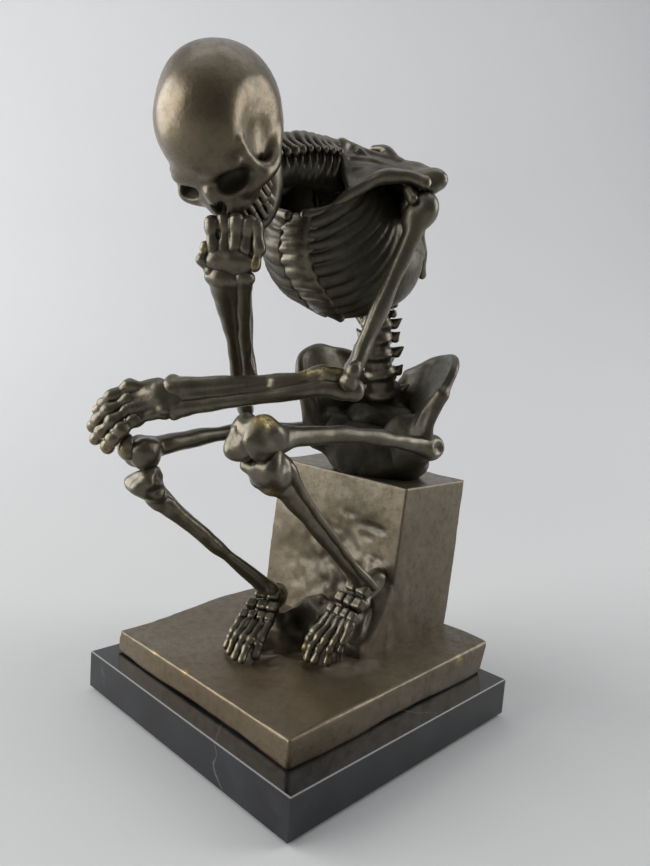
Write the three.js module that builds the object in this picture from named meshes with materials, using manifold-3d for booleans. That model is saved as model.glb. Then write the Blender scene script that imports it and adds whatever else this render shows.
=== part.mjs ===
// A seated bronze skeleton on a marble base. Millimetres, +Z up, origin under the middle of the base.
// The figure faces -Y and its left side is +X. Each bone is its own solid, and where two bones meet the
// later one is cut to the earlier one's shape, a seam wide.
import * as THREE from 'three';
import { mergeVertices } from 'three/addons/utils/BufferGeometryUtils.js';
import Module from 'manifold-3d';

const wasm = await Module();
wasm.setup();

// Base
const SEAM = 0.3;
const WELD = 0.001;
const SMALLEST_EDGE = 0.14;
const FELT_THICKNESS = 1;
const FELT_INSET = 2;
const MARBLE_WIDTH = 160;
const MARBLE_DEPTH = 160;
const MARBLE_HEIGHT = 20;
const MARBLE_CHAMFER = 0.5;
const PLINTH_WIDTH = 136;
const PLINTH_DEPTH = 148;
const PLINTH_HEIGHT = 14.8;
const PLINTH_WALL = 5;
const PLINTH_TAPER = 1;
const PLINTH_OFFSET = new THREE.Vector2(-1.5, 4.5);
const SEAT_WIDTH = 98;
const SEAT_DEPTH = 54;
const SEAT_HEIGHT = 87.3;
const SEAT_WALL = 5;
const SEAT_LEAN = 7;
const SEAT_X = -11;
const BOLT_RADIUS = 3;
const BOLT_GRIP = 6;
const BOLT_HEAD_RADIUS = 5.6;
const BOLT_HEAD_HEIGHT = 4;
const BOSS_RADIUS = 9;
const WASHER_RADIUS = 9;
const WASHER_THICKNESS = 1.6;
const COUNTERBORE_DEPTH = 9;
const BOLT_CLEARANCE = 0.4;
const MOUND_HEIGHT = 17;

// Legs
const HIP_HALF = 24.5;
const HIP_HEIGHT = 20;
const PELVIS_YAW = 22;
const FEMUR_LENGTH = 119.5;
const FEMUR_BOW = 4;
const FEMUR_RADIUS = 4.4;
const FEMUR_HEAD_RADIUS = 8;
const TROCHANTER_RADIUS = 7.6;
const TROCHANTER_OUT = 13;
const KNEE_RADIUS = 10.5;
const KNEE_HALF_WIDTH = 7;
const PATELLA_RADIUS = 7;
const TIBIA_LENGTH = 111;
const TIBIA_RADIUS = 4.2;
const FIBULA_RADIUS = 2.3;
const ANKLE_RADIUS = 6.2;
const TOE_RADIUS = 2.5;
const TOE_FORWARD = [-8, -1, -2, -6.5, -12.5];
const TOE_OUT = { left: [-14, -6, -1.5, 2.5, 5], right: [-6.5, -2.5, 2, 6.5, 11] };
const KNEE_SIZE = { left: 1, right: 0.8 };
const SHIN_BOW = { left: 4, right: 10 };

// Torso and head
const VERTEBRA_RADIUS = 8.2;
const NECK_RADIUS = 9;
const SPINE_PROCESS = 8;
const RIB_PAIRS = 10;
const RIB_RELIEF = 1.3;
const RIB_WALL = 3;
const CHEST_HALF_WIDTH = 36;
const CHEST_ARCH = 4;
const STERNUM_HALF_WIDTH = 6.5;
const CLAVICLE_RADIUS = 3;
const SCAPULA_THICKNESS = 3.2;
const CRANIUM = new THREE.Vector3(24.6, 31.5, 27);
const JAW_HALF_WIDTH = 15;

// Arms
const HUMERUS_LENGTH = 88;
const HUMERUS_RADIUS = 4;
const SHOULDER_RADIUS = 7.6;
const ELBOW_HALF_WIDTH = 8.5;
const FOREARM_LENGTH = 84;
const FOREARM_RADIUS = 3.3;
const WRIST_HALF_WIDTH = 8;
const PALM_LENGTH = { left: 13, right: 17 };
const PALM_HALF_WIDTH = 10;
const FINGER_RADIUS = 2.6;
const PHALANX_LENGTHS = { left: [10, 7.5, 6], right: [14, 9, 7] };

const BRONZE = { color: 0x54483a, roughness: 0.38, metalness: 0.85 };
const BRONZE_ROUGH = { color: 0x5a4d3f, roughness: 0.5, metalness: 0.8 };
const MARBLE = { color: 0x0c0c0e, roughness: 0.12, metalness: 0 };
const STEEL = { color: 0x9a9c9e, roughness: 0.35, metalness: 0.9 };
const FELT = { color: 0x1f241f, roughness: 0.95, metalness: 0 };

// Vectors
const V = (x, y, z) => new THREE.Vector3(x, y, z);
const X = V(1, 0, 0);
const Y = V(0, 1, 0);
const Z = V(0, 0, 1);
const mix = (a, b, t) => a.clone().lerp(b, t);
const shift = (p, direction, distance) => p.clone().addScaledVector(direction, distance);
const heading = (from, to) => to.clone().sub(from).normalize();
const square = (v, axis) => v.clone().addScaledVector(axis, -v.dot(axis)).normalize();
const turned = (v, degrees) => v.clone().applyAxisAngle(Z, THREE.MathUtils.degToRad(degrees));

// The middle joint of a two-bone limb, bent towards the pole
function bend(start, end, first, second, pole) {
  const axis = heading(start, end);
  const span = Math.min(start.distanceTo(end), 0.995 * (first + second));
  const reach = (first * first - second * second + span * span) / (2 * span);
  const rise = Math.sqrt(Math.max(first * first - reach * reach, 0));
  return shift(shift(start, axis, reach), square(pole, axis), rise);
}

// Solids
function solid(geometry) {
  geometry.deleteAttribute('normal');
  geometry.deleteAttribute('uv');
  const welded = mergeVertices(geometry, WELD);
  return new wasm.Manifold(new wasm.Mesh({
    numProp: 3,
    vertProperties: new Float32Array(welded.attributes.position.array),
    triVerts: new Uint32Array(welded.index.array),
  }));
}

const fuse = (...solids) => solids.flat().reduce((sum, next) => sum.add(next));

function meshOf(points, triangles) {
  const geometry = new THREE.BufferGeometry();
  geometry.setAttribute('position', new THREE.Float32BufferAttribute(points.flatMap((p) => p.toArray()), 3));
  geometry.setIndex(triangles.flat());
  return solid(geometry);
}

// A tube with rounded ends through stations of [point, half width, half height]; up sets the height's side
function tube(stations, up, grow = 0, { sides = 8, steps = 2 } = {}) {
  const curve = new THREE.CatmullRomCurve3(stations.map(([point]) => point), false, 'centripetal');
  const last = stations.length - 1;
  const sizeAt = (t, k) => {
    const i = Math.min(Math.floor(t * last), last - 1);
    const f = THREE.MathUtils.smoothstep(t * last - i, 0, 1);
    return THREE.MathUtils.lerp(stations[i][k], stations[i + 1][k], f) + grow;
  };
  const rings = [];
  const addRing = (t, lift, scale) => {
    const tangent = curve.getTangent(t);
    const side = up.clone().cross(tangent).normalize();
    const normal = tangent.clone().cross(side);
    const size = [sizeAt(t, 1), sizeAt(t, 2)];
    const centre = shift(curve.getPoint(t), tangent, lift * Math.min(...size));
    rings.push(Array.from({ length: sides }, (_, j) => {
      const angle = (2 * Math.PI * j) / sides;
      const out = shift(centre, side, size[0] * scale * Math.cos(angle));
      return shift(out, normal, size[1] * scale * Math.sin(angle));
    }));
  };
  addRing(0, -0.7, 0.6);
  for (let i = 0; i <= last * steps; i += 1) addRing(i / (last * steps), 0, 1);
  addRing(1, 0.7, 0.6);
  const points = rings.flat();
  const ends = [0, rings.length - 1].map((r) => {
    const sum = rings[r].reduce((total, p) => total.add(p), V(0, 0, 0));
    return points.push(sum.divideScalar(sides)) - 1;
  });
  const triangles = [];
  for (let j = 0; j < sides; j += 1) {
    const k = (j + 1) % sides;
    for (let r = 0; r < rings.length - 1; r += 1) {
      const a = r * sides;
      const b = a + sides;
      triangles.push([a + j, a + k, b + k], [a + j, b + k, b + j]);
    }
    const top = (rings.length - 1) * sides;
    triangles.push([ends[0], k, j], [ends[1], top + j, top + k]);
  }
  return meshOf(points, triangles);
}

// An ellipsoid with its radii along three axes. The third axis is worked out, so that a mirrored frame
// doesn't turn it inside out
function ball(centre, radii, [first, second] = [X, Y], grow = 0, detail = 8) {
  const geometry = new THREE.SphereGeometry(1, detail, Math.round(detail * 0.7));
  const size = typeof radii === 'number' ? V(radii, radii, radii) : radii;
  geometry.scale(size.x + grow, size.z + grow, size.y + grow);
  geometry.rotateX(Math.PI / 2);
  const third = first.clone().cross(second);
  geometry.applyMatrix4(new THREE.Matrix4().makeBasis(first, second, third).setPosition(centre));
  return solid(geometry);
}

// A curved plate: surface(u, v) with its thickness shared between both sides
function plate(surface, across, along, thickness, grow = 0) {
  const step = 1e-3;
  const rim = (k, last) => (k === last ? grow : k === 0 ? -grow : 0);
  const sheet = (side) => {
    const points = [];
    for (let j = 0; j <= along; j += 1) {
      for (let i = 0; i <= across; i += 1) {
        const [u, v] = [i / across, j / along];
        const du = heading(surface(Math.max(u - step, 0), v), surface(Math.min(u + step, 1), v));
        const dv = heading(surface(u, Math.max(v - step, 0)), surface(u, Math.min(v + step, 1)));
        const p = shift(shift(surface(u, v), du, rim(i, across)), dv, rim(j, along));
        const swell = THREE.MathUtils.lerp(0.6, 1, Math.sin(Math.PI * v));
        const normal = du.clone().cross(dv).normalize();
        points.push(shift(p, normal, side * (thickness * swell / 2 + grow)));
      }
    }
    return points;
  };
  const points = [...sheet(1), ...sheet(-1)];
  const row = across + 1;
  const half = row * (along + 1);
  const triangles = [];
  for (let j = 0; j < along; j += 1) {
    for (let i = 0; i < across; i += 1) {
      const [a, b, c, d] = [j * row + i, j * row + i + 1, (j + 1) * row + i + 1, (j + 1) * row + i];
      triangles.push([a, b, c], [a, c, d], [half + a, half + c, half + b], [half + a, half + d, half + c]);
    }
  }
  const wall = (p, q) => triangles.push([p, half + p, half + q], [p, half + q, q]);
  for (let i = 0; i < across; i += 1) {
    wall(i, i + 1);
    wall(along * row + i + 1, along * row + i);
  }
  for (let j = 0; j < along; j += 1) {
    wall((j + 1) * row, j * row);
    wall(j * row + across, (j + 1) * row + across);
  }
  return meshOf(points, triangles);
}

function box(centre, size) {
  return solid(new THREE.BoxGeometry(...size.toArray()).translate(...centre.toArray()));
}

function rod(x, y, bottom, top, radius, sides = 24) {
  const geometry = new THREE.CylinderGeometry(radius, radius, top - bottom, sides);
  geometry.rotateX(Math.PI / 2);
  return solid(geometry.translate(x, y, (bottom + top) / 2));
}

// A block whose top and bottom are rectangles of their own size and place
function frustum(bottomRect, topRect) {
  const corners = ({ x, y, w, d, z }) => [[-1, -1], [1, -1], [1, 1], [-1, 1]]
    .map(([i, j]) => V(x + (i * w) / 2, y + (j * d) / 2, z));
  const points = [...corners(bottomRect), ...corners(topRect)];
  const triangles = [[0, 2, 1], [0, 3, 2], [4, 5, 6], [4, 6, 7]];
  for (let i = 0; i < 4; i += 1) {
    const k = (i + 1) % 4;
    triangles.push([i, k, 4 + k], [i, 4 + k, 4 + i]);
  }
  return meshOf(points, triangles);
}

// Pieces are placed in order; each is cut by the earlier ones it meets, grown by the seam
const statue = new THREE.Group();
const placed = [];

function meets(a, b) {
  const [p, q] = [a.boundingBox(), b.boundingBox()];
  return [0, 1, 2].every((k) => p.min[k] < q.max[k] && q.min[k] < p.max[k]);
}

// A cut can leave crumbs, so the largest body stays
const largest = (shape) => shape.decompose().sort((a, b) => b.volume() - a.volume())[0];

function geometryOf(shape) {
  const { vertProperties, triVerts } = shape.getMesh();
  const geometry = new THREE.BufferGeometry();
  geometry.setAttribute('position', new THREE.BufferAttribute(new Float32Array(vertProperties), 3));
  return geometry.setIndex(new THREE.BufferAttribute(new Uint32Array(triVerts), 1));
}

function place(name, build, look) {
  const clear = (shape) => placed
    .filter(({ grown }) => meets(shape, grown))
    .reduce((rest, { grown }) => rest.subtract(grown), shape);
  const shape = clear(clear(build(0)).simplify(SMALLEST_EDGE)).simplify(SEAM / 10);
  const geometry = geometryOf(largest(shape));
  placed.push({ name, grown: build(SEAM) });
  const mesh = new THREE.Mesh(geometry, new THREE.MeshStandardMaterial(look));
  mesh.name = name;
  statue.add(mesh);
}

// Heights
const MARBLE_BOTTOM = FELT_THICKNESS + SEAM;
const MARBLE_TOP = MARBLE_BOTTOM + MARBLE_HEIGHT;
const PLINTH_BOTTOM = MARBLE_TOP + SEAM;
const PLINTH_TOP = PLINTH_BOTTOM + PLINTH_HEIGHT;
const SEAT_BOTTOM = PLINTH_TOP + SEAM;
const SEAT_TOP = SEAT_BOTTOM + SEAT_HEIGHT;
const PLINTH_BACK = PLINTH_OFFSET.y + PLINTH_DEPTH / 2;
const SEAT_Y = PLINTH_BACK - SEAT_DEPTH / 2;
const SEAT_FRONT = PLINTH_BACK - SEAT_DEPTH;

// Base pieces
function feltSheet(grow) {
  const [width, depth] = [MARBLE_WIDTH, MARBLE_DEPTH].map((side) => side - 2 * FELT_INSET + 2 * grow);
  return box(V(0, 0, FELT_THICKNESS / 2), V(width, depth, FELT_THICKNESS + 2 * grow));
}

function marbleBase(grow) {
  const core = (inset, lower, upper) => box(
    V(0, 0, (lower + upper) / 2),
    V(MARBLE_WIDTH - 2 * inset + 2 * grow, MARBLE_DEPTH - 2 * inset + 2 * grow, upper - lower + 2 * grow),
  );
  const rect = (inset, z) => ({ x: 0, y: 0, w: MARBLE_WIDTH - 2 * inset, d: MARBLE_DEPTH - 2 * inset, z });
  if (grow > 0) return core(0, MARBLE_BOTTOM, MARBLE_TOP).subtract(boltWay());
  const low = MARBLE_BOTTOM + MARBLE_CHAMFER;
  const high = MARBLE_TOP - MARBLE_CHAMFER;
  return fuse(
    frustum(rect(MARBLE_CHAMFER, MARBLE_BOTTOM), rect(0, low)),
    frustum(rect(0, low), rect(0, high)),
    frustum(rect(0, high), rect(MARBLE_CHAMFER, MARBLE_TOP)),
  ).subtract(boltWay());
}

function boltWay() {
  const floor = MARBLE_BOTTOM + COUNTERBORE_DEPTH;
  return fuse(
    rod(0, 0, MARBLE_BOTTOM - 1, floor, WASHER_RADIUS + 2 * BOLT_CLEARANCE),
    rod(0, 0, floor - 1, MARBLE_TOP + 1, BOLT_RADIUS + BOLT_CLEARANCE),
  );
}

const WASHER_TOP = MARBLE_BOTTOM + COUNTERBORE_DEPTH - SEAM;
const WASHER_BOTTOM = WASHER_TOP - WASHER_THICKNESS;
const HEAD_TOP = WASHER_BOTTOM - SEAM;

function washer(grow) {
  const hole = rod(0, 0, WASHER_BOTTOM - 1, WASHER_TOP + 1, BOLT_RADIUS + BOLT_CLEARANCE - grow);
  return rod(0, 0, WASHER_BOTTOM - grow, WASHER_TOP + grow, WASHER_RADIUS + grow).subtract(hole);
}

function bolt(grow) {
  return fuse(
    rod(0, 0, HEAD_TOP - BOLT_HEAD_HEIGHT - grow, HEAD_TOP + grow, BOLT_HEAD_RADIUS + grow, 6),
    rod(0, 0, HEAD_TOP - 1, PLINTH_BOTTOM + BOLT_GRIP + grow, BOLT_RADIUS + grow),
  );
}

function plinth(grow) {
  const rect = (inset, z) => ({
    x: PLINTH_OFFSET.x,
    y: PLINTH_OFFSET.y,
    w: PLINTH_WIDTH - 2 * inset + 2 * grow,
    d: PLINTH_DEPTH - 2 * inset + 2 * grow,
    z,
  });
  const slab = frustum(rect(PLINTH_TAPER, PLINTH_BOTTOM - grow), rect(0, PLINTH_TOP + grow));
  const wall = PLINTH_WALL + PLINTH_TAPER + grow;
  const hollow = frustum(rect(wall, PLINTH_BOTTOM - 1), rect(wall, PLINTH_TOP - PLINTH_WALL - grow));
  const boss = rod(0, 0, PLINTH_BOTTOM, PLINTH_TOP - 1, BOSS_RADIUS + grow);
  const mound = fuse(MOUND.map(([x, y, radii]) => ball(V(x, y, PLINTH_TOP), radii, [X, Y, Z], grow, 12)));
  const room = V(2 * PLINTH_WIDTH, 2 * PLINTH_DEPTH, 4 * MOUND_HEIGHT);
  const front = box(V(0, SEAT_FRONT - SEAM - PLINTH_DEPTH, PLINTH_TOP - 2 + 2 * MOUND_HEIGHT), room);
  return fuse(slab.subtract(hollow), boss, mound.intersect(front));
}

// The clay-like ground that rises from the plinth to the heels, in front of the seat
const MOUND = [
  [14, SEAT_FRONT - 10, V(16, 15, MOUND_HEIGHT * 1.25)],
  [28, SEAT_FRONT - 7, V(10, 11, MOUND_HEIGHT * 1.9)],
  [-6, SEAT_FRONT - 10, V(18, 14, MOUND_HEIGHT * 0.75)],
  [34, SEAT_FRONT - 22, V(13, 16, MOUND_HEIGHT * 0.25)],
];

function seatBlock(grow) {
  const rect = (inset, y, z) => ({
    x: SEAT_X,
    y,
    w: SEAT_WIDTH - 2 * inset + 2 * grow,
    d: SEAT_DEPTH - 2 * inset + 2 * grow,
    z,
  });
  const shell = frustum(rect(0, SEAT_Y, SEAT_BOTTOM - grow), rect(0, SEAT_Y + SEAT_LEAN, SEAT_TOP + grow));
  const roof = SEAT_TOP - SEAT_WALL - grow;
  const wall = SEAT_WALL + grow;
  return shell.subtract(frustum(rect(wall, SEAT_Y, SEAT_BOTTOM - 1), rect(wall, SEAT_Y + SEAT_LEAN, roof)));
}

place('felt_sheet', feltSheet, FELT);
place('marble_base', marbleBase, MARBLE);
place('fixing_washer', washer, STEEL);
place('fixing_bolt', bolt, STEEL);
place('plinth', plinth, BRONZE_ROUGH);
place('seat_block', seatBlock, BRONZE_ROUGH);

// The pose: joints worked out from the seat, the plinth and the bone lengths
const PELVIS = V(0, SEAT_Y - 6, SEAT_TOP + HIP_HEIGHT);
const HIP_AXIS = turned(X, PELVIS_YAW);
const HIP_BACK = turned(Y, PELVIS_YAW);
const WAIST = PELVIS.clone().add(V(-0.5, -5, 68.5));
const NECK_BASE = WAIST.clone().add(V(6.5, -50.5, 77.5));
const HEAD = NECK_BASE.clone().add(V(-9.5, -48.5, -9.3));
const BREAST = NECK_BASE.clone().add(V(-1, -18.5, -37));
const XIPHOID = WAIST.clone().add(V(6.5, -36, -3));

const SIDES = ['left', 'right'];
const sign = { left: 1, right: -1 };
const hip = {};
const knee = {};
const shoulder = {};
const elbow = {};
const wrist = {};
const ankle = { left: V(29, 13, PLINTH_TOP + 37.5), right: V(-18, -8, PLINTH_TOP + 22.4) };
const toe = { left: V(29, -19, PLINTH_TOP + TOE_RADIUS), right: V(3, -47, PLINTH_TOP + TOE_RADIUS) };
const kneePole = { left: V(0, -0.9, 0.8), right: V(-0.12, -0.93, 0.1) };
for (const side of SIDES) {
  hip[side] = shift(PELVIS, HIP_AXIS, sign[side] * HIP_HALF);
  knee[side] = bend(hip[side], ankle[side], FEMUR_LENGTH, TIBIA_LENGTH, kneePole[side]);
}
shoulder.left = NECK_BASE.clone().add(V(46, 17.5, -28.6));
shoulder.right = NECK_BASE.clone().add(V(-53, -9, -38.6));
wrist.left = knee.right.clone().add(V(9, 10, 26));
wrist.right = HEAD.clone().add(V(9, -7.5, -58));
elbow.left = bend(shoulder.left, wrist.left, HUMERUS_LENGTH, FOREARM_LENGTH, V(0.3, 0.2, -1));
elbow.right = bend(shoulder.right, wrist.right, HUMERUS_LENGTH, FOREARM_LENGTH, V(-0.22, 0.22, -1));

// Legs
function femur(side, grow) {
  const [top, end] = [hip[side], knee[side]];
  const down = heading(top, end);
  const out = square(HIP_AXIS.clone().multiplyScalar(sign[side]), down);
  const bow = square(Z, down);
  const trochanter = shift(shift(top, out, TROCHANTER_OUT), down, 4);
  const on = (t, lift) => shift(mix(trochanter, end, t), bow, lift);
  const knob = KNEE_SIZE[side];
  const condyle = V(6, KNEE_RADIUS, KNEE_RADIUS * 0.95).multiplyScalar(knob);
  const axes = [out, down, bow];
  return fuse(
    ball(top, FEMUR_HEAD_RADIUS, axes, grow),
    tube([[top, 4.5, 4.5], [trochanter, 5.5, 5.5]], bow, grow, { steps: 1 }),
    ball(trochanter, TROCHANTER_RADIUS, axes, grow),
    tube([
      [on(0.02, 0), 5.6, 5.6],
      [on(0.2, FEMUR_BOW * 0.6), FEMUR_RADIUS, FEMUR_RADIUS],
      [on(0.5, FEMUR_BOW), FEMUR_RADIUS, FEMUR_RADIUS],
      [on(0.78, FEMUR_BOW * 0.7), FEMUR_RADIUS + 0.8, FEMUR_RADIUS + 0.6],
      [on(0.97, 0.5), 9 * knob, 7 * knob],
    ], bow, grow),
    ball(shift(end, out, KNEE_HALF_WIDTH * knob), condyle, axes, grow),
    ball(shift(end, out, -KNEE_HALF_WIDTH * knob), condyle, axes, grow),
  );
}

const shinFrame = (side) => {
  const down = heading(knee[side], ankle[side]);
  const thigh = heading(hip[side], knee[side]);
  const front = square(thigh, down);
  const out = front.clone().cross(down).multiplyScalar(sign[side]);
  return { down, front, out };
};

// How far the shin curves ahead of the straight line from knee to ankle
const shinBow = (side, t) => SHIN_BOW[side] * (1 - t) * Math.min(1, 0.6 + 2 * t);

function tibia(side, grow) {
  const { down, front, out } = shinFrame(side);
  const axes = [out, front, down];
  const knob = KNEE_SIZE[side];
  const on = (t) => shift(mix(knee[side], ankle[side], t), front, shinBow(side, t));
  return fuse(
    ball(shift(on(0.1), front, 1), V(12, 9.5, 7).multiplyScalar(knob), axes, grow),
    ball(shift(on(0.19), front, 4.8 * knob), V(4.5, 4.2, 6.4).multiplyScalar(knob), axes, grow),
    tube([
      [on(0.1), 9.5 * knob, 8 * knob],
      [on(0.24), TIBIA_RADIUS + 1.4, TIBIA_RADIUS + 1.8],
      [on(0.55), TIBIA_RADIUS, TIBIA_RADIUS + 0.6],
      [on(0.82), TIBIA_RADIUS - 0.5, TIBIA_RADIUS - 0.3],
      [on(0.97), ANKLE_RADIUS, ANKLE_RADIUS - 0.6],
    ], front, grow),
    ball(shift(on(0.99), out, -4.5), V(3.2, 4, 5), axes, grow, 8),
  );
}

function fibula(side, grow) {
  const { down, front, out } = shinFrame(side);
  const on = (t, away, back) => {
    const straight = shift(mix(knee[side], ankle[side], t), out, away);
    return shift(straight, front, shinBow(side, t) - back);
  };
  return fuse(
    ball(on(0.15, 10.5, 5), V(3.6, 3.6, 5), [out, front, down], grow, 8),
    tube([
      [on(0.16, 10.5, 5), 2.8, 2.8],
      [on(0.5, 7.6, 3.5), FIBULA_RADIUS, FIBULA_RADIUS],
      [on(0.85, 6.4, 1.5), FIBULA_RADIUS, FIBULA_RADIUS],
      [on(1.02, 6.8, 0.5), 3.4, 3.6],
    ], front, grow),
  );
}

function patella(side, grow) {
  const { down, out } = shinFrame(side);
  const forward = shift(heading(hip[side], knee[side]), down, 0.15).normalize();
  const across = square(out, forward);
  const low = across.clone().cross(forward);
  const axes = [across, forward, low];
  if (side === 'right') {
    return ball(shift(shift(knee[side], forward, 8.4), low, 3), V(5, 3.6, 5), axes, grow);
  }
  const centre = shift(shift(knee[side], forward, KNEE_RADIUS - 3), across, -3.4);
  return ball(centre, V(PATELLA_RADIUS * 1.2, 4.6, PATELLA_RADIUS * 1.3), axes, grow);
}

// A heel, the arch of the ankle bones and five rays that run out to the toe tips
function foot(side, grow) {
  const flat = V(toe[side].x - ankle[side].x, toe[side].y - ankle[side].y, 0).normalize();
  const out = flat.clone().cross(Z).multiplyScalar(-sign[side]);
  const slope = heading(ankle[side], toe[side]);
  const rise = square(Z, slope);
  const axes = [out, slope, rise];
  const instep = mix(ankle[side], toe[side], 0.3);
  const heel = shift(shift(ankle[side], slope, -5), rise, -8);
  const rays = TOE_OUT[side].map((across, i) => {
    const root = shift(mix(ankle[side], toe[side], 0.34), out, (i - 2) * 3.2);
    const tip = shift(shift(toe[side], out, across), flat, TOE_FORWARD[i]);
    const thick = TOE_RADIUS + (i === 0 ? 0.8 : 0);
    const knuckle = shift(mix(root, tip, 0.66), rise, 1);
    return tube([
      [root, 3.4, 3.4],
      [mix(root, knuckle, 0.55), thick * 0.8, thick * 0.85],
      [knuckle, thick, thick * 1.1],
      [mix(knuckle, tip, 0.55), thick * 0.8, thick * 0.8],
      [tip, thick, thick * 0.8],
    ], rise, grow, { sides: 5, steps: 1 });
  });
  return fuse(
    ball(shift(ankle[side], rise, -5), V(7, 8, 6), axes, grow),
    ball(heel, V(6, 8.5, 7), axes, grow),
    ball(shift(instep, rise, -2.5), V(9, 9, 5.5), axes, grow),
    ...rays,
  );
}

for (const side of SIDES) {
  place(`femur_${side}`, (grow) => femur(side, grow), BRONZE);
  place(`tibia_${side}`, (grow) => tibia(side, grow), BRONZE);
  place(`fibula_${side}`, (grow) => fibula(side, grow), BRONZE);
  place(`patella_${side}`, (grow) => patella(side, grow), BRONZE);
  place(`foot_${side}`, (grow) => foot(side, grow), BRONZE);
}

// Pelvis, in its own frame of out, back and up from the middle between the hips
const pelvisPoint = (side, out, back, up) => {
  const p = shift(shift(PELVIS, HIP_AXIS, sign[side] * out), HIP_BACK, back);
  return shift(p, Z, up);
};

function hipBone(side, grow) {
  const at = (out, back, up) => pelvisPoint(side, out, back, up);
  const rise = [at(41, -16, 30), at(44, -4, 45), at(32, 18, 47), at(9, 32, 36)];
  const crest = new THREE.CatmullRomCurve3(rise);
  const root = new THREE.CatmullRomCurve3([at(27, -10, 8), at(25, 2, 4), at(18, 16, 8), at(10, 26, 10)]);
  const out = HIP_AXIS.clone().multiplyScalar(sign[side]);
  const wing = (u, v) => {
    const flat = mix(root.getPoint(u), crest.getPoint(u), v);
    return shift(flat, out, -5 * Math.sin(Math.PI * v));
  };
  const order = (u) => (side === 'left' ? u : 1 - u);
  const seat = at(16, 12, -15);
  const front = at(3.2, -17, -9);
  const sitting = [[at(19, 4, -4), 7, 8], [at(17, 10, -11), 6.5, 7], [seat, 6.5, 7]];
  const pubic = [[at(21, -6, 2), 5, 5], [at(11, -15, -4), 4, 4.5], [front, 3, 6]];
  return fuse(
    plate((u, v) => wing(order(u), v), 6, 4, 5, grow),
    ball(at(HIP_HALF - 3, 1, 0), V(11, 12, 12), [HIP_AXIS, HIP_BACK, Z], grow),
    ball(at(13, 2, -8), V(12.6, 16, 12), [HIP_AXIS, HIP_BACK, Z], grow),
    ball(at(11, -8, -5), V(10.6, 9, 14), [HIP_AXIS, HIP_BACK, Z], grow),
    tube(sitting, HIP_BACK, grow, { sides: 7, steps: 1 }),
    tube(pubic, Z, grow, { sides: 6, steps: 1 }),
    tube([[front, 3, 4], [at(9, -6, -15), 3.2, 3.6], [seat, 5, 5]], Z, grow, { sides: 6, steps: 1 }),
  );
}

function sacrum(grow) {
  const at = (back, up) => pelvisPoint('left', 0, back, up);
  return tube([
    [at(16, 26), 13, 7],
    [at(22, 14), 12, 6.5],
    [at(26, 0), 8.5, 5],
    [at(22, -12), 4, 3.5],
  ], HIP_BACK, grow, { sides: 10 });
}

// Spine: a waisted column with a process behind each vertebra, and wings at its sides where they show
function column(points, count, radii, process, wings, grow) {
  const curve = new THREE.CatmullRomCurve3(points);
  const stations = [];
  const pieces = [];
  for (let i = 0; i < count; i += 1) {
    const t = (i + 0.5) / count;
    const [centre, along] = [curve.getPoint(t), curve.getTangent(t)];
    const side = square(HIP_AXIS, along);
    const back = along.clone().cross(side);
    const radius = THREE.MathUtils.lerp(...radii, t);
    const half = (curve.getLength() / count) * 0.5;
    stations.push([curve.getPoint((i + 0.12) / count), radius, radius * 0.85]);
    stations.push([centre, radius * 0.82, radius * 0.7]);
    const root = shift(centre, back, radius * 0.5);
    const tip = shift(shift(centre, back, radius + process), along, -half * 0.7);
    pieces.push(tube([[root, 2.2, 2.6], [tip, 1.4, 2]], along, grow, { sides: 4, steps: 1 }));
    if (wings > 0) {
      const ends = [1, -1].map((k) => shift(shift(centre, side, k * (radius + wings)), back, radius * 0.6));
      const wing = [[ends[0], 1.5, 1.7], [root, 2.4, 2.4], [ends[1], 1.5, 1.7]];
      pieces.push(tube(wing, along, grow, { sides: 4, steps: 1 }));
    }
  }
  stations.push([curve.getPoint(1), radii[1], radii[1] * 0.85]);
  const up = square(HIP_BACK, heading(points[0], points[points.length - 1]));
  return fuse(tube(stations, up, grow, { sides: 7, steps: 1 }), pieces);
}

const LUMBAR_BASE = pelvisPoint('left', 0, 14, 27);
const BACK_BULGE = mix(WAIST, NECK_BASE, 0.45).add(V(-1, 19, 8));
const SKULL_SEAT = HEAD.clone().add(V(-2, 9, -4));
const NECK_ROOT = NECK_BASE.clone().add(V(0, 2, -4));
const SPINE_POINTS = [WAIST, mix(WAIST, BACK_BULGE, 0.5).add(V(0, 3, 0)), BACK_BULGE, NECK_ROOT];

const lumbarPoints = [LUMBAR_BASE, mix(LUMBAR_BASE, WAIST, 0.5).add(V(0, -3, 0)), WAIST];
const neckPoints = [NECK_ROOT, mix(NECK_ROOT, SKULL_SEAT, 0.5), SKULL_SEAT];
const lumbarRadii = [VERTEBRA_RADIUS + 1, VERTEBRA_RADIUS];
const thoracicRadii = [VERTEBRA_RADIUS, NECK_RADIUS * 0.66];
const neckRadii = [NECK_RADIUS + 0.4, NECK_RADIUS];
const lumbar = (grow) => column(lumbarPoints, 5, lumbarRadii, SPINE_PROCESS * 0.9, 1, grow);
const thoracic = (grow) => column(SPINE_POINTS, 12, thoracicRadii, SPINE_PROCESS * 0.5, 0, grow);
const neck = (grow) => column(neckPoints, 7, neckRadii, SPINE_PROCESS * 0.15, 0, grow);

// Skull and jaw are shaped upright and then turned down and sideways about the ears
const HEAD_TURN = new THREE.Euler(
  THREE.MathUtils.degToRad(50), THREE.MathUtils.degToRad(-10), THREE.MathUtils.degToRad(20), 'ZXY',
);
const HEAD_POSE = new THREE.Matrix4().makeRotationFromEuler(HEAD_TURN).setPosition(HEAD);
const posed = (shape) => shape.transform(HEAD_POSE.elements);

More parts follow.
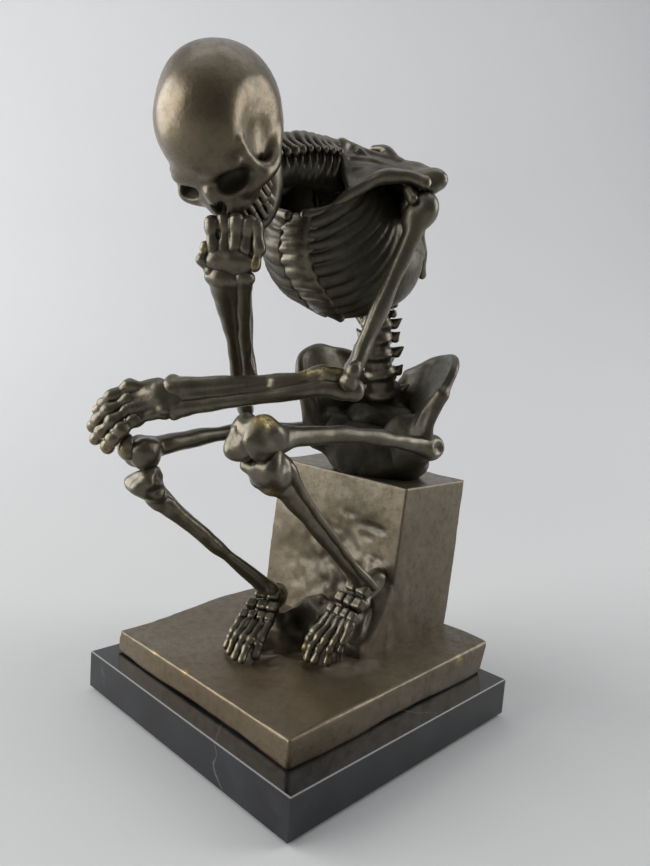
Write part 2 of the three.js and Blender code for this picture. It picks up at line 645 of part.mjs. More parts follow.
// In this frame the face looks along -Y, like the figure
function skull(grow) {
  const cut = -grow;
  const both = (make) => [make(1), make(-1)];
  const vault = ball(V(0, -1, 15), CRANIUM, [X, Y, Z], grow, 16);
  const face = tube([
    [V(0, -18, 6), 17, 12],
    [V(0, -20, -2), 15.5, 12],
    [V(0, -22, -9), 11, 11],
    [V(0, -23.5, -15), 9.5, 9.5],
  ], Y, grow, { sides: 12, steps: 1 });
  const base = ball(V(0, 4, -1), V(17, 20, 11), [X, Y, Z], grow, 10);
  const cheeks = both((k) => tube([
    [V(k * 13, -24, -6), 4, 4],
    [V(k * 18.6, -18.5, -6), 3.6, 3.6],
    [V(k * 20.6, -11, -6.4), 3.2, 3.2],
    [V(k * 21.2, -3, -4.6), 3.2, 3.2],
    [V(k * 20, 5, -1), 4, 4],
  ], Z, grow, { sides: 6, steps: 1 }));
  const sockets = both((k) => ball(V(k * 11, -31, 0), V(7.4, 9.5, 5.4), [X, Y, Z], cut, 10));
  const hollows = both((k) => ball(V(k * 30.5, -8.5, 11), V(13, 16, 18), [X, Y, Z], cut, 10));
  const nose = ball(V(0, -34, -8), V(3.7, 6, 3.8), [X, Y, Z], cut, 10);
  const whole = fuse(vault, face, base).subtract(fuse(hollows));
  return posed(fuse(whole, cheeks).subtract(fuse(sockets, nose)));
}

function jaw(grow) {
  const branch = (k) => tube([
    [V(k * (JAW_HALF_WIDTH + 0.5), -1, -5), 2.4, 5],
    [V(k * JAW_HALF_WIDTH, -5, -15), 2.4, 6],
    [V(k * (JAW_HALF_WIDTH - 1.6), -10.5, -21.5), 2.8, 4.8],
    [V(k * 9.5, -20, -26), 3, 4],
    [V(0, -29, -27), 3.4, 4.4],
  ], Z, grow);
  return posed(fuse(branch(1), branch(-1)));
}

// Chest: a shell in two halves with its ribs in relief, and the breastbone between them in front
const SPINE_CURVE = new THREE.CatmullRomCurve3([...SPINE_POINTS].reverse());
const BREAST_CURVE = new THREE.CatmullRomCurve3([
  BREAST,
  mix(BREAST, XIPHOID, 0.4).add(V(-1.5, -13, 0)),
  mix(BREAST, XIPHOID, 0.75).add(V(-1, -10, -2)),
  XIPHOID,
]);
const CHEST_OUT = heading(shoulder.right, shoulder.left).setZ(0).normalize();

// A point of the chest wall, from the spine at u 0 to the breastbone at u 1, and down from the top at v 0
function chestWall(side, u, v) {
  const out = CHEST_OUT.clone().multiplyScalar(sign[side]);
  const level = 0.04 + 0.95 * v;
  const [back, front] = [SPINE_CURVE.getPoint(0.06 + 0.75 * v), BREAST_CURVE.getPoint(level)];
  const angle = Math.PI * (0.06 + 0.89 * u);
  const width = CHEST_HALF_WIDTH * Math.sin(Math.PI * (0.13 + 0.7 * level)) ** 0.7;
  const p = mix(mix(back, front, 0.5), back, Math.cos(angle));
  p.addScaledVector(out, width * Math.sin(angle) ** 0.85);
  p.addScaledVector(Z, CHEST_ARCH * Math.sin(angle) ** 2);
  const ridge = RIB_RELIEF * Math.cos(2 * Math.PI * RIB_PAIRS * v);
  const inward = heading(p, mix(back, front, 0.5));
  return p.addScaledVector(out, ridge * Math.sin(angle)).addScaledVector(inward, -ridge * 0.5);
}

function ribCage(side, grow) {
  const wall = (u, v) => chestWall(side, side === 'left' ? u : 1 - u, v);
  return plate(wall, 8, 2 * RIB_PAIRS, RIB_WALL, grow);
}

function sternum(grow) {
  const stations = [0, 0.25, 0.5, 0.75, 1].map((t) => {
    const width = t === 0 ? STERNUM_HALF_WIDTH + 1.5 : STERNUM_HALF_WIDTH * (t === 1 ? 0.4 : 1);
    return [BREAST_CURVE.getPoint(t), width, 2.8];
  });
  return tube(stations, Y, grow, { steps: 2 });
}

// Shoulder girdle
// The collar bone's arch: how far along, how far up and how thick
const CLAVICLE_ARCH = [
  [0, 0, 1.1],
  [0.22, 1.2, 0.75],
  [0.42, 5.4, 0.9],
  [0.64, 7.8, 1],
  [0.84, 5.4, 1],
  [1, 0.4, 1.1],
];

function collar(side) {
  const inner = shift(shift(BREAST, CHEST_OUT, sign[side] * 5), Z, 1);
  const outer = shoulder[side].clone().add(V(0, -3, 9.5));
  return CLAVICLE_ARCH.map(([t, lift]) => shift(mix(inner, outer, t), Z, lift));
}

function clavicle(side, grow) {
  const stations = collar(side).map((point, i) => {
    const r = CLAVICLE_RADIUS * CLAVICLE_ARCH[i][2];
    return [point, r, r];
  });
  return tube(stations, Z, grow);
}

function scapula(side, grow) {
  const k = sign[side];
  const back = square(Y, CHEST_OUT);
  const at = (out, behind, up) => {
    const level = shift(shift(shoulder[side], CHEST_OUT, k * out), back, behind);
    return shift(level, Z, up);
  };
  const [inTop, inLow] = [at(-38, 3, 27), at(-28, 46, -20)];
  const [outTop, outLow] = [at(-8, 9, 8), at(-17, 44, -26)];
  const blade = (u, v) => mix(mix(inTop, outTop, u), mix(inLow, outLow, u), v);
  const order = (u) => (side === 'left' ? 1 - u : u);
  const socket = at(-8, 3, 0);
  const tip = at(3, 5, 11);
  const spine = [[mix(inTop, inLow, 0.3), 2, 2], [at(-14, 17, 13), 2.4, 3.4], [tip, 3.6, 3]];
  const nearNeck = shift(shift(NECK_BASE, CHEST_OUT, k * 8), back, 11);
  const ridge = new THREE.CatmullRomCurve3([nearNeck, at(-21, 13, 23), at(-5, 11.5, 19), tip]);
  const mantle = (u, v) => mix(ridge.getPoint(u), chestWall(side, 0.1 + 0.32 * u, 0.3), v);
  const collarLine = new THREE.CatmullRomCurve3(collar(side));
  const apron = (u, v) => {
    const flat = mix(ridge.getPoint(u), collarLine.getPoint(0.5 + 0.48 * u), v);
    return shift(flat, Z, 2 * v);
  };
  return fuse(
    plate((u, v) => blade(order(u), v), 4, 5, SCAPULA_THICKNESS, grow),
    plate((u, v) => mantle(order(u), v), 4, 3, SCAPULA_THICKNESS, grow),
    plate((u, v) => apron(order(u), v), 4, 3, SCAPULA_THICKNESS, grow),
    ball(socket, V(5, 6, 8), [CHEST_OUT, back, Z], grow),
    ball(at(-1.5, 6, 13.5), V(7.6, 6, 4.4), [CHEST_OUT, back, Z], grow),
    tube([[socket, 3, 4], [at(-13, 12, 2), 2.5, 4]], Z, grow, { sides: 6, steps: 1 }),
    tube(spine, Z, grow, { sides: 6, steps: 1 }),
  );
}

// Arms
const armFrame = (side) => {
  const upper = heading(shoulder[side], elbow[side]);
  const fore = heading(elbow[side], wrist[side]);
  const hinge = upper.clone().cross(fore).normalize();
  return { upper, fore, hinge };
};

function humerus(side, grow) {
  const { upper, fore, hinge } = armFrame(side);
  const axes = [hinge, square(fore, upper), upper];
  const on = (t) => mix(shoulder[side], elbow[side], t);
  return fuse(
    ball(shoulder[side].clone().add(V(0, -1, -2)), SHOULDER_RADIUS, axes, grow),
    tube([
      [on(0.05), 6, 6],
      [on(0.2), HUMERUS_RADIUS + 0.8, HUMERUS_RADIUS + 0.8],
      [on(0.55), HUMERUS_RADIUS, HUMERUS_RADIUS],
      [on(0.8), HUMERUS_RADIUS + 0.6, HUMERUS_RADIUS - 0.4],
      [on(0.95), ELBOW_HALF_WIDTH, HUMERUS_RADIUS],
    ], axes[1], grow),
    tube([
      [shift(elbow[side], hinge, -ELBOW_HALF_WIDTH + 2), 4.6, 4.6],
      [elbow[side], 3.8, 3.8],
      [shift(elbow[side], hinge, ELBOW_HALF_WIDTH - 2), 5, 5],
    ], upper, grow, { steps: 1 }),
  );
}

// The ulna carries the point of the elbow; the radius is the wide one at the wrist. The bones turn from side
// by side at the elbow to the way the hand lies at the wrist
function apart(side, t) {
  const { fore, hinge } = armFrame(side);
  const atElbow = hinge.clone().multiplyScalar(hinge.dot(handFrame(side).across) < 0 ? -1 : 1);
  return square(mix(atElbow, handFrame(side).across, Math.min(0.3 + t, 1)), fore);
}

const forearmPoint = (side, t, away) => shift(mix(elbow[side], wrist[side], t), apart(side, t), away);

function ulna(side, grow) {
  const { upper, fore, hinge } = armFrame(side);
  const tip = shift(shift(elbow[side], fore, -4.5), upper, 4);
  return fuse(
    ball(tip, V(4.4, 5.5, 5), [hinge, square(upper, fore), fore], grow, 8),
    tube([
      [shift(elbow[side], upper, 5), 4.2, 4.2],
      [forearmPoint(side, 0.14, -2.5), FOREARM_RADIUS + 1, FOREARM_RADIUS + 1.4],
      [forearmPoint(side, 0.5, -4.4), FOREARM_RADIUS, FOREARM_RADIUS],
      [forearmPoint(side, 0.82, -4.6), FOREARM_RADIUS - 0.2, FOREARM_RADIUS - 0.2],
      [forearmPoint(side, 0.96, -5.4), FOREARM_RADIUS + 1, FOREARM_RADIUS + 1],
    ], fore.clone().cross(apart(side, 1)), grow),
  );
}

function radius(side, grow) {
  const { fore } = armFrame(side);
  return tube([
    [forearmPoint(side, 0.07, 5), FOREARM_RADIUS + 0.8, FOREARM_RADIUS + 0.8],
    [forearmPoint(side, 0.2, 4.6), FOREARM_RADIUS - 0.3, FOREARM_RADIUS - 0.3],
    [forearmPoint(side, 0.5, 4.6), FOREARM_RADIUS, FOREARM_RADIUS],
    [forearmPoint(side, 0.8, 4.2), FOREARM_RADIUS + 1, FOREARM_RADIUS + 0.4],
    [forearmPoint(side, 0.97, 3), WRIST_HALF_WIDTH - 1.5, 5],
  ], fore.clone().cross(apart(side, 1)), grow);
}

// Hands: which way the palm runs, its back faces and the fingers reach, how much each finger turns aside from
// the one before, and how far each knuckle curls
const HANDS = {
  left: {
    along: V(-0.56, -0.8, -0.2),
    back: V(0.72, -0.58, 0.36),
    reach: V(-0.4, -0.76, -0.5),
    fan: 0.13,
    thumb: 1,
    curl: [0.1, 0.6, 0.3],
  },
  right: {
    along: V(0.04, -0.1, 1),
    back: V(0.65, -0.75, 0.1),
    reach: V(-0.05, -0.1, 1),
    fan: 0,
    thumb: -1,
    curl: [1.9, 1.2, 0.7],
  },
};

function handFrame(side) {
  const hand = HANDS[side];
  const along = hand.along.clone().normalize();
  const back = square(hand.back, along);
  const across = along.clone().cross(back).multiplyScalar(hand.thumb);
  return { along, back, across };
}

const knuckle = (side, i) => {
  const { along, across } = handFrame(side);
  const spread = (i - 1.5) / 1.5;
  const end = shift(wrist[side], along, 6 + PALM_LENGTH[side] - 1.6 * spread * spread);
  return shift(end, across, -spread * (PALM_HALF_WIDTH - 2));
};

function palm(side, grow) {
  const { along, back, across } = handFrame(side);
  const carpus = shift(wrist[side], along, 4.5);
  const rays = [0, 1, 2, 3].map((i) => {
    const root = shift(shift(wrist[side], along, 8), across, -((i - 1.5) / 1.5) * 6.4);
    const end = knuckle(side, i);
    const stations = [[root, 3, 3], [mix(root, end, 0.5), 2.2, 2.6], [end, 3, 3.2]];
    return tube(stations, back, grow, { sides: 6, steps: 1 });
  });
  return fuse(ball(carpus, V(10, 6, 5.6), [across, along, back], grow), ...rays);
}

const FINGERS = ['index', 'middle', 'ring', 'little'];
const FINGER_SCALE = [0.95, 1.05, 1, 0.8];

// Finger bones through the points, with a knob at each joint
function phalanges(points, across, grow) {
  const stations = [[points[0], FINGER_RADIUS + 0.4, FINGER_RADIUS + 0.4]];
  points.slice(1).forEach((next, k) => {
    const [middle, end] = [FINGER_RADIUS * 0.78, FINGER_RADIUS - 0.1 * k];
    stations.push([mix(points[k], next, 0.5), middle, middle]);
    stations.push([next, end, end]);
  });
  return tube(stations, across, grow, { sides: 6, steps: 1 });
}

function finger(side, i, grow) {
  const { along, across, back } = handFrame(side);
  const { fan, curl } = HANDS[side];
  const reach = shift(HANDS[side].reach, X, fan * i).normalize();
  const axis = reach.clone().cross(back).normalize();
  const root = knuckle(side, i);
  if (side === 'right' && FINGERS[i] === 'little') {
    // It hangs free beside the fist
    const hang = ([aside, low]) => shift(shift(root, across, -aside), along, -low);
    const hanging = [[4.6, 1], [6, 10], [4, 17]].map(hang);
    return phalanges([root, ...hanging], across, grow);
  }
  const points = [root];
  let angle = 0;
  PHALANX_LENGTHS[side].forEach((length, k) => {
    angle -= curl[k];
    points.push(shift(points[k], reach.clone().applyAxisAngle(axis, angle), length * FINGER_SCALE[i]));
  });
  return phalanges(points, across, grow);
}

// The left thumb lies under the palm, and the right one is bent up against the wrist
const THUMBS = {
  left: [[5, 6.5, -3], [16, 8.5, -7], [26, 8.5, -12]],
  right: [[1, 8, 0], [6, 12.4, 1], [11.5, 10.4, 1]],
};

function thumb(side, grow) {
  const { along, back, across } = handFrame(side);
  const points = THUMBS[side].map(([far, aside, up]) => {
    const p = shift(shift(wrist[side], along, far), across, aside);
    return shift(p, back, up);
  });
  return phalanges(points, across, grow);
}

place('skull', skull, BRONZE);
place('jaw', jaw, BRONZE);
place('lumbar_spine', lumbar, BRONZE);
place('thoracic_spine', thoracic, BRONZE);
place('neck_vertebrae', neck, BRONZE);
place('sacrum', sacrum, BRONZE);
place('sternum', sternum, BRONZE);
for (const side of SIDES) {
  place(`hip_bone_${side}`, (grow) => hipBone(side, grow), BRONZE);
  place(`clavicle_${side}`, (grow) => clavicle(side, grow), BRONZE);
  place(`rib_cage_${side}`, (grow) => ribCage(side, grow), BRONZE);
  place(`humerus_${side}`, (grow) => humerus(side, grow), BRONZE);
  place(`ulna_${side}`, (grow) => ulna(side, grow), BRONZE);
  place(`radius_${side}`, (grow) => radius(side, grow), BRONZE);
  place(`scapula_${side}`, (grow) => scapula(side, grow), BRONZE);
  place(`hand_palm_${side}`, (grow) => palm(side, grow), BRONZE);
  for (const [i, name] of FINGERS.entries()) {
    place(`${name}_finger_${side}`, (grow) => finger(side, i, grow), BRONZE);
  }
  place(`thumb_${side}`, (grow) => thumb(side, grow), BRONZE);
}

export default statue;
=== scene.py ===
"""A seated bronze skeleton on a polished marble base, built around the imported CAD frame.

The bones are modelled as clay: smooth forms are blended and carved on a grid of distances, in millimetres,
and the surface is then drawn as a mesh. The pose repeats the CAD model's own joints, so each bone lies where
its solid is; only the right elbow is carried a little further forward, as the photograph shows it.
"""

import math
from itertools import pairwise, product

import bpy
import numpy as np
from mathutils import Matrix


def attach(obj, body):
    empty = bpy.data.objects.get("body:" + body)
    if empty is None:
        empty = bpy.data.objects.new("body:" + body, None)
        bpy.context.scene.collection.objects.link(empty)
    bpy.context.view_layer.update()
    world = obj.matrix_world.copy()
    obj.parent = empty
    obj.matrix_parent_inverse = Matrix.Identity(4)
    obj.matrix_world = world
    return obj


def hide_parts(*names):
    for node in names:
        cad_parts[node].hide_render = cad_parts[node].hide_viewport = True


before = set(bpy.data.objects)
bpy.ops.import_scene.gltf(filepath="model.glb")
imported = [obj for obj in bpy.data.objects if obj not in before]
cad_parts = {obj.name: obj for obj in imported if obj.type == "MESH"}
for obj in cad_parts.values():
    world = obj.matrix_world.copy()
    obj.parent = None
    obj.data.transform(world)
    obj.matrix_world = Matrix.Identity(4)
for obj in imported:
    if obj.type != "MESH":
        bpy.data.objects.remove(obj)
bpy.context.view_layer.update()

SCENE = bpy.context.scene
MM = 0.001

# Fineness of the clay and limits of its grid
FINE = 0.42
MEDIUM = 0.5
COARSE = 0.7
QUICK_FACTOR = 1.0
FAR = 14.0
MARGIN = 2.6
PAD_CELLS = 4
HUGE = 1000.0
TINY = 1e-6
BEND_REACH = 1.3
NOISE_GAIN = 1.8

# Photograph's frame and its camera, in millimetres and degrees
IMAGE_HEIGHT = 866
FOCAL_PIXELS = 713.6
CAMERA_AZIMUTH = 44.1
CAMERA_ELEVATION = 7.6
CAMERA_ROLL = 4.3
CAMERA_SHIFT = (15.5, 146.2, 391.4)
FRAME_LIFT = 1.3
SENSOR_HEIGHT = 24.0

# The CAD model's sizes that the pose needs
PLINTH_TOP = 36.4
PLINTH_BOTTOM = 21.6
PLINTH_WIDTH = 136
PLINTH_DEPTH = 148
PLINTH_X = -1.5
PLINTH_Y = 4.5
SEAT_WIDTH = 98
SEAT_DEPTH = 54
SEAT_BOTTOM = 36.7
SEAT_TOP = 124.0
SEAT_LEAN = 7
SEAT_X = -11
SEAT_Y = 51.5
SEAT_FRONT = SEAT_Y - SEAT_DEPTH / 2
HIP_HALF = 24.5
HIP_HEIGHT = 20
PELVIS_YAW = 22
FEMUR_LENGTH = 119.5
TIBIA_LENGTH = 111
HUMERUS_LENGTH = 88
FOREARM_LENGTH = 84
TOE_RADIUS = 2.5
TOE_FORWARD = (-8, -1, -2, -6.5, -12.5)
TOE_OUT = {"left": (-14, -6, -1.5, 2.5, 5), "right": (-6.5, -2.5, 2, 6.5, 11)}
CHEST_HALF_WIDTH = 36
CHEST_ARCH = 4
RIB_PAIRS = 10
PALM_LENGTH = {"left": 13, "right": 17}
PALM_HALF_WIDTH = 10
PHALANX_LENGTHS = {"left": (10, 7.5, 6), "right": (14, 9, 7)}
FINGER_RADIUS = 2.6
FINGER_SCALE = (0.95, 1.05, 1, 0.8)
FINGERS = ("index", "middle", "ring", "little")
SIDES = ("left", "right")
SIGN = {"left": 1, "right": -1}

# What the casting adds to those sizes
PLINTH_LEFT_REACH = 2
PLINTH_EDGE = 1.2
PLINTH_TILT = 0.024
PLINTH_UNDERCUT = 5
SEAT_EDGE = 0.7
SEAT_SINK = 2
COVE_RADIUS = 37
COVE_CENTRE = SEAT_BOTTOM + 40
KNEE_SIZE = {"left": 1.0, "right": 0.8}
SHIN_BOW = {"left": 4, "right": 10}
FOREARM_SLIM = {"left": 1.0, "right": 0.78}
BONE_WAVES = (0.75, 6.5)
RIB_PEAK = 0.5
RIB_START = 0.4
TEETH = 8
TOOTH_FIRST = 7
TOOTH_PITCH = 14
TOOTH_ARCH_Y = -14.5
STRAIGHTEST = 0.995

# Vectors
X, Y, Z = np.eye(3)


def vec(x, y, z):
    return np.array((x, y, z), float)


def unit(v):
    return v / np.linalg.norm(v)


def mix(a, b, t):
    return a + (b - a) * t


def heading(start, end):
    return unit(end - start)


def square(v, axis):
    """The way of v at right angles to the axis."""
    return unit(v - axis * np.dot(v, axis))


def turn(axis, degrees):
    return np.array(Matrix.Rotation(math.radians(degrees), 3, axis))


def bend(start, end, first, second, pole):
    """The middle joint of a two-bone limb, bent towards the pole."""
    axis = heading(start, end)
    span = min(np.linalg.norm(end - start), STRAIGHTEST * (first + second))
    reach = (first**2 - second**2 + span**2) / (2 * span)
    rise = math.sqrt(max(first**2 - reach**2, 0))
    return start + axis * reach + square(pole, axis) * rise


# Distances over grids of x, y and z
def offset(grid, origin):
    return [g - o for g, o in zip(grid, origin)]


def extent(gap, axis):
    return gap[0] * axis[0] + gap[1] * axis[1] + gap[2] * axis[2]


def norm(parts):
    return np.sqrt(sum(p**2 for p in parts))


def squashed(parts, sizes):
    """Nearly the distance to an ellipsoid, from the places along its axes."""
    root = norm([p / s for p, s in zip(parts, sizes)])
    slope = norm([p / s**2 for p, s in zip(parts, sizes)])
    return root * (root - 1) / np.maximum(slope, TINY)


def rounded(past, rounding):
    """The distance to a box with round edges, from how far a point lies past its inner faces."""
    inner = np.minimum(np.maximum(np.maximum(past[0], past[1]), past[2]), 0)
    return norm([np.maximum(p, 0) for p in past]) + inner - rounding


# Forms: a distance function with the box that holds it
def ball(centre, radii, axes=None):
    size = np.broadcast_to(np.asarray(radii, float), 3)
    basis = np.eye(3) if axes is None else np.array(axes)

    def distance(*grid):
        gap = offset(grid, centre)
        return squashed([extent(gap, axis) for axis in basis], size)

    half = np.sqrt(((basis * size[:, None]) ** 2).sum(0))
    return distance, centre - half, centre + half


def rod(start, end, r0, r1=None, up=None):
    """A tapered bar with round ends; a pair for its size, with up, gives half a width and half a height."""
    r1 = r0 if r1 is None else r1
    run = end - start
    length = max(np.linalg.norm(run), TINY)
    along = run / length
    if up is not None:
        side = unit(np.cross(up, along))
        normal = np.cross(along, side)
        first, last = (np.broadcast_to(np.asarray(r, float), 2) for r in (r0, r1))

    def distance(*grid):
        gap = offset(grid, start)
        reach = extent(gap, along)
        t = np.clip(reach / length, 0, 1)
        if up is None:
            return norm([g - t * length * a for g, a in zip(gap, along)]) - mix(r0, r1, t)
        width, height = (mix(a, b, t) for a, b in zip(first, last))
        parts = (extent(gap, side), extent(gap, normal), reach - t * length)
        return squashed(parts, (width, height, np.minimum(width, height)))

    most = np.max(np.concatenate([np.ravel(r0), np.ravel(r1)]))
    return distance, np.minimum(start, end) - most, np.maximum(start, end) + most


def slab(low, high, rounding, shear=0.0, tilt=0.0):
    """A block with rounded edges; shear moves its top back, and tilt raises its top towards the back."""
    centre = (low + high) / 2
    half = (high - low) / 2

    def distance(x, y, z):
        t = (z - low[2]) / (high[2] - low[2])
        top = high[2] + tilt * (y - centre[1])
        past = (
            np.abs(x - centre[0]) - half[0] + rounding,
            np.abs(y - centre[1] - shear * t) - half[1] + rounding,
            np.maximum(low[2] - z, z - top) + rounding,
        )
        return rounded(past, rounding)

    slack = abs(shear) + abs(tilt) * half[1]
    return distance, low - slack, high + slack


def block(centre, half, rounding, axes):
    """A rounded box along three axes."""
    basis = np.array(axes)
    inner = np.asarray(half, float) - rounding

    def distance(*grid):
        gap = offset(grid, centre)
        return rounded([np.abs(extent(gap, axis)) - h for axis, h in zip(basis, inner)], rounding)

    reach = np.abs(basis * np.asarray(half, float)[:, None]).sum(0)
    return distance, centre - reach, centre + reach


def beyond(point, normal):
    """All that lies past a plane."""
    def distance(*grid):
        return -extent(offset(grid, point), normal)

    return distance, np.full(3, -HUGE), np.full(3, HUGE)


def along_curve(points, t):
    """A smooth curve through the points, at t from 0 to 1."""
    pts = [2 * points[0] - points[1], *points, 2 * points[-1] - points[-2]]
    i = min(int(t * (len(points) - 1)), len(points) - 2)
    f = t * (len(points) - 1) - i
    a, b, c, d = pts[i:i + 4]
    return 0.5 * (2 * b + (c - a) * f + (2 * a - 5 * b + 4 * c - d) * f**2 + (3 * b - a - 3 * c + d) * f**3)


def limb(stations, up=None, steps=5):
    """Bars end to end along a smooth curve through stations of (point, size)."""
    points = [p for p, _ in stations]
    sizes = [np.asarray(s, float) for _, s in stations]
    last = len(stations) - 1
    path = []
    for i in range(last * steps + 1):
        t = i / (last * steps)
        k = min(int(t * last), last - 1)
        f = t * last - k
        f = f * f * (3 - 2 * f)
        path.append((along_curve(points, t), mix(sizes[k], sizes[k + 1], f)))
    return [rod(a, b, ra, rb, up) for (a, ra), (b, rb) in pairwise(path)]


def stations(on, *rows):
    """Stations for a limb: each row holds what on needs to give the point, and then the size there."""
    return [(on(*row[:-1]), row[-1]) for row in rows]


def shaft(on, *rows, up=None):
    return limb(stations(on, *rows), up)


def sheet(surface, across, along, half):
    """A curved plate: bars along each line of surface(u, v); half gives its half thickness there."""
    forms = []
    for j in range(along + 1):
        v = j / along
        line = [(surface(i / across, v), half(i / across, v)) for i in range(across + 1)]
        forms += [rod(a, b, ra, rb) for (a, ra), (b, rb) in pairwise(line)]
    return forms


def smooth_noise(shape, voxel, scale, seed):
    """Soft random waves from -1 to 1 over a grid."""
    rng = np.random.default_rng(seed)
    counts = [int(n * voxel / scale) + 5 for n in shape]
    lattice = rng.uniform(-1, 1, counts).astype(np.float32)
    for axis in range(3):
        at = np.arange(shape[axis]) * voxel / scale + 1
        i = at.astype(int)
        f = (at - i).astype(np.float32)
        weights = ((1 - f) ** 3, 3 * f**3 - 6 * f**2 + 4, -3 * f**3 + 3 * f**2 + 3 * f + 1, f**3)
        moved = np.moveaxis(lattice, axis, 0)
        moved = sum(w[:, None, None] / 6 * moved[i - 1 + k] for k, w in enumerate(weights))
        lattice = np.moveaxis(moved, 0, axis)
    return lattice * NOISE_GAIN


def blurred(field, cells):
    """The field averaged over a cube of cells to each side."""
    out = field
    for axis in range(3):
        pad = [(cells + 1, cells) if k == axis else (0, 0) for k in range(3)]
        total = np.cumsum(np.pad(out, pad, mode="edge"), axis=axis, dtype=np.float64)
        n = field.shape[axis]
        width = 2 * cells + 1
        upper = np.take(total, np.arange(width, width + n), axis=axis)
        lower = np.take(total, np.arange(n), axis=axis)
        out = ((upper - lower) / width).astype(np.float32)
    return out


def skin(field):
    """The surface where the field is zero: points in cells of the grid, and four-sided faces."""
    inside = field < 0
    cells = tuple(n - 1 for n in field.shape)
    count = np.zeros(cells, np.int8)
    for c in product((0, 1), repeat=3):
        count += inside[tuple(slice(o, o + n) for o, n in zip(c, cells))]
    at = np.argwhere((count > 0) & (count < 8))
    index = np.full(cells, -1, np.int64)
    index[tuple(at.T)] = np.arange(len(at))
    total = np.zeros((len(at), 3))
    hits = np.zeros(len(at))
    for axis in range(3):
        others = [k for k in range(3) if k != axis]
        for corner in product((0, 1), repeat=2):
            start = at.copy()
            start[:, others] += corner
            end = start.copy()
            end[:, axis] += 1
            a = field[tuple(start.T)]
            b = field[tuple(end.T)]
            cross = (a < 0) != (b < 0)
            spot = start.astype(float)
            spot[:, axis] += np.where(cross, a / np.where(cross, a - b, 1), 0)
            total[cross] += spot[cross]
            hits += cross
    faces = []
    for axis in range(3):
        j, k = (axis + 1) % 3, (axis + 2) % 3
        low = [slice(None)] * 3
        high = [slice(None)] * 3
        low[axis], high[axis] = slice(0, -1), slice(1, None)
        edge = np.argwhere(inside[tuple(low)] != inside[tuple(high)])
        edge = edge[(edge[:, j] > 0) & (edge[:, k] > 0) & (edge[:, j] < cells[j]) & (edge[:, k] < cells[k])]
        ring = []
        for step in ((-1, -1), (0, -1), (0, 0), (-1, 0)):
            cell = edge.copy()
            cell[:, (j, k)] += step
            ring.append(index[tuple(cell.T)])
        ring = np.stack(ring, 1)
        out = inside[tuple(edge.T)]
        faces.append(np.where(out[:, None], ring, ring[:, ::-1]))
    return total / hits[:, None], np.concatenate(faces)


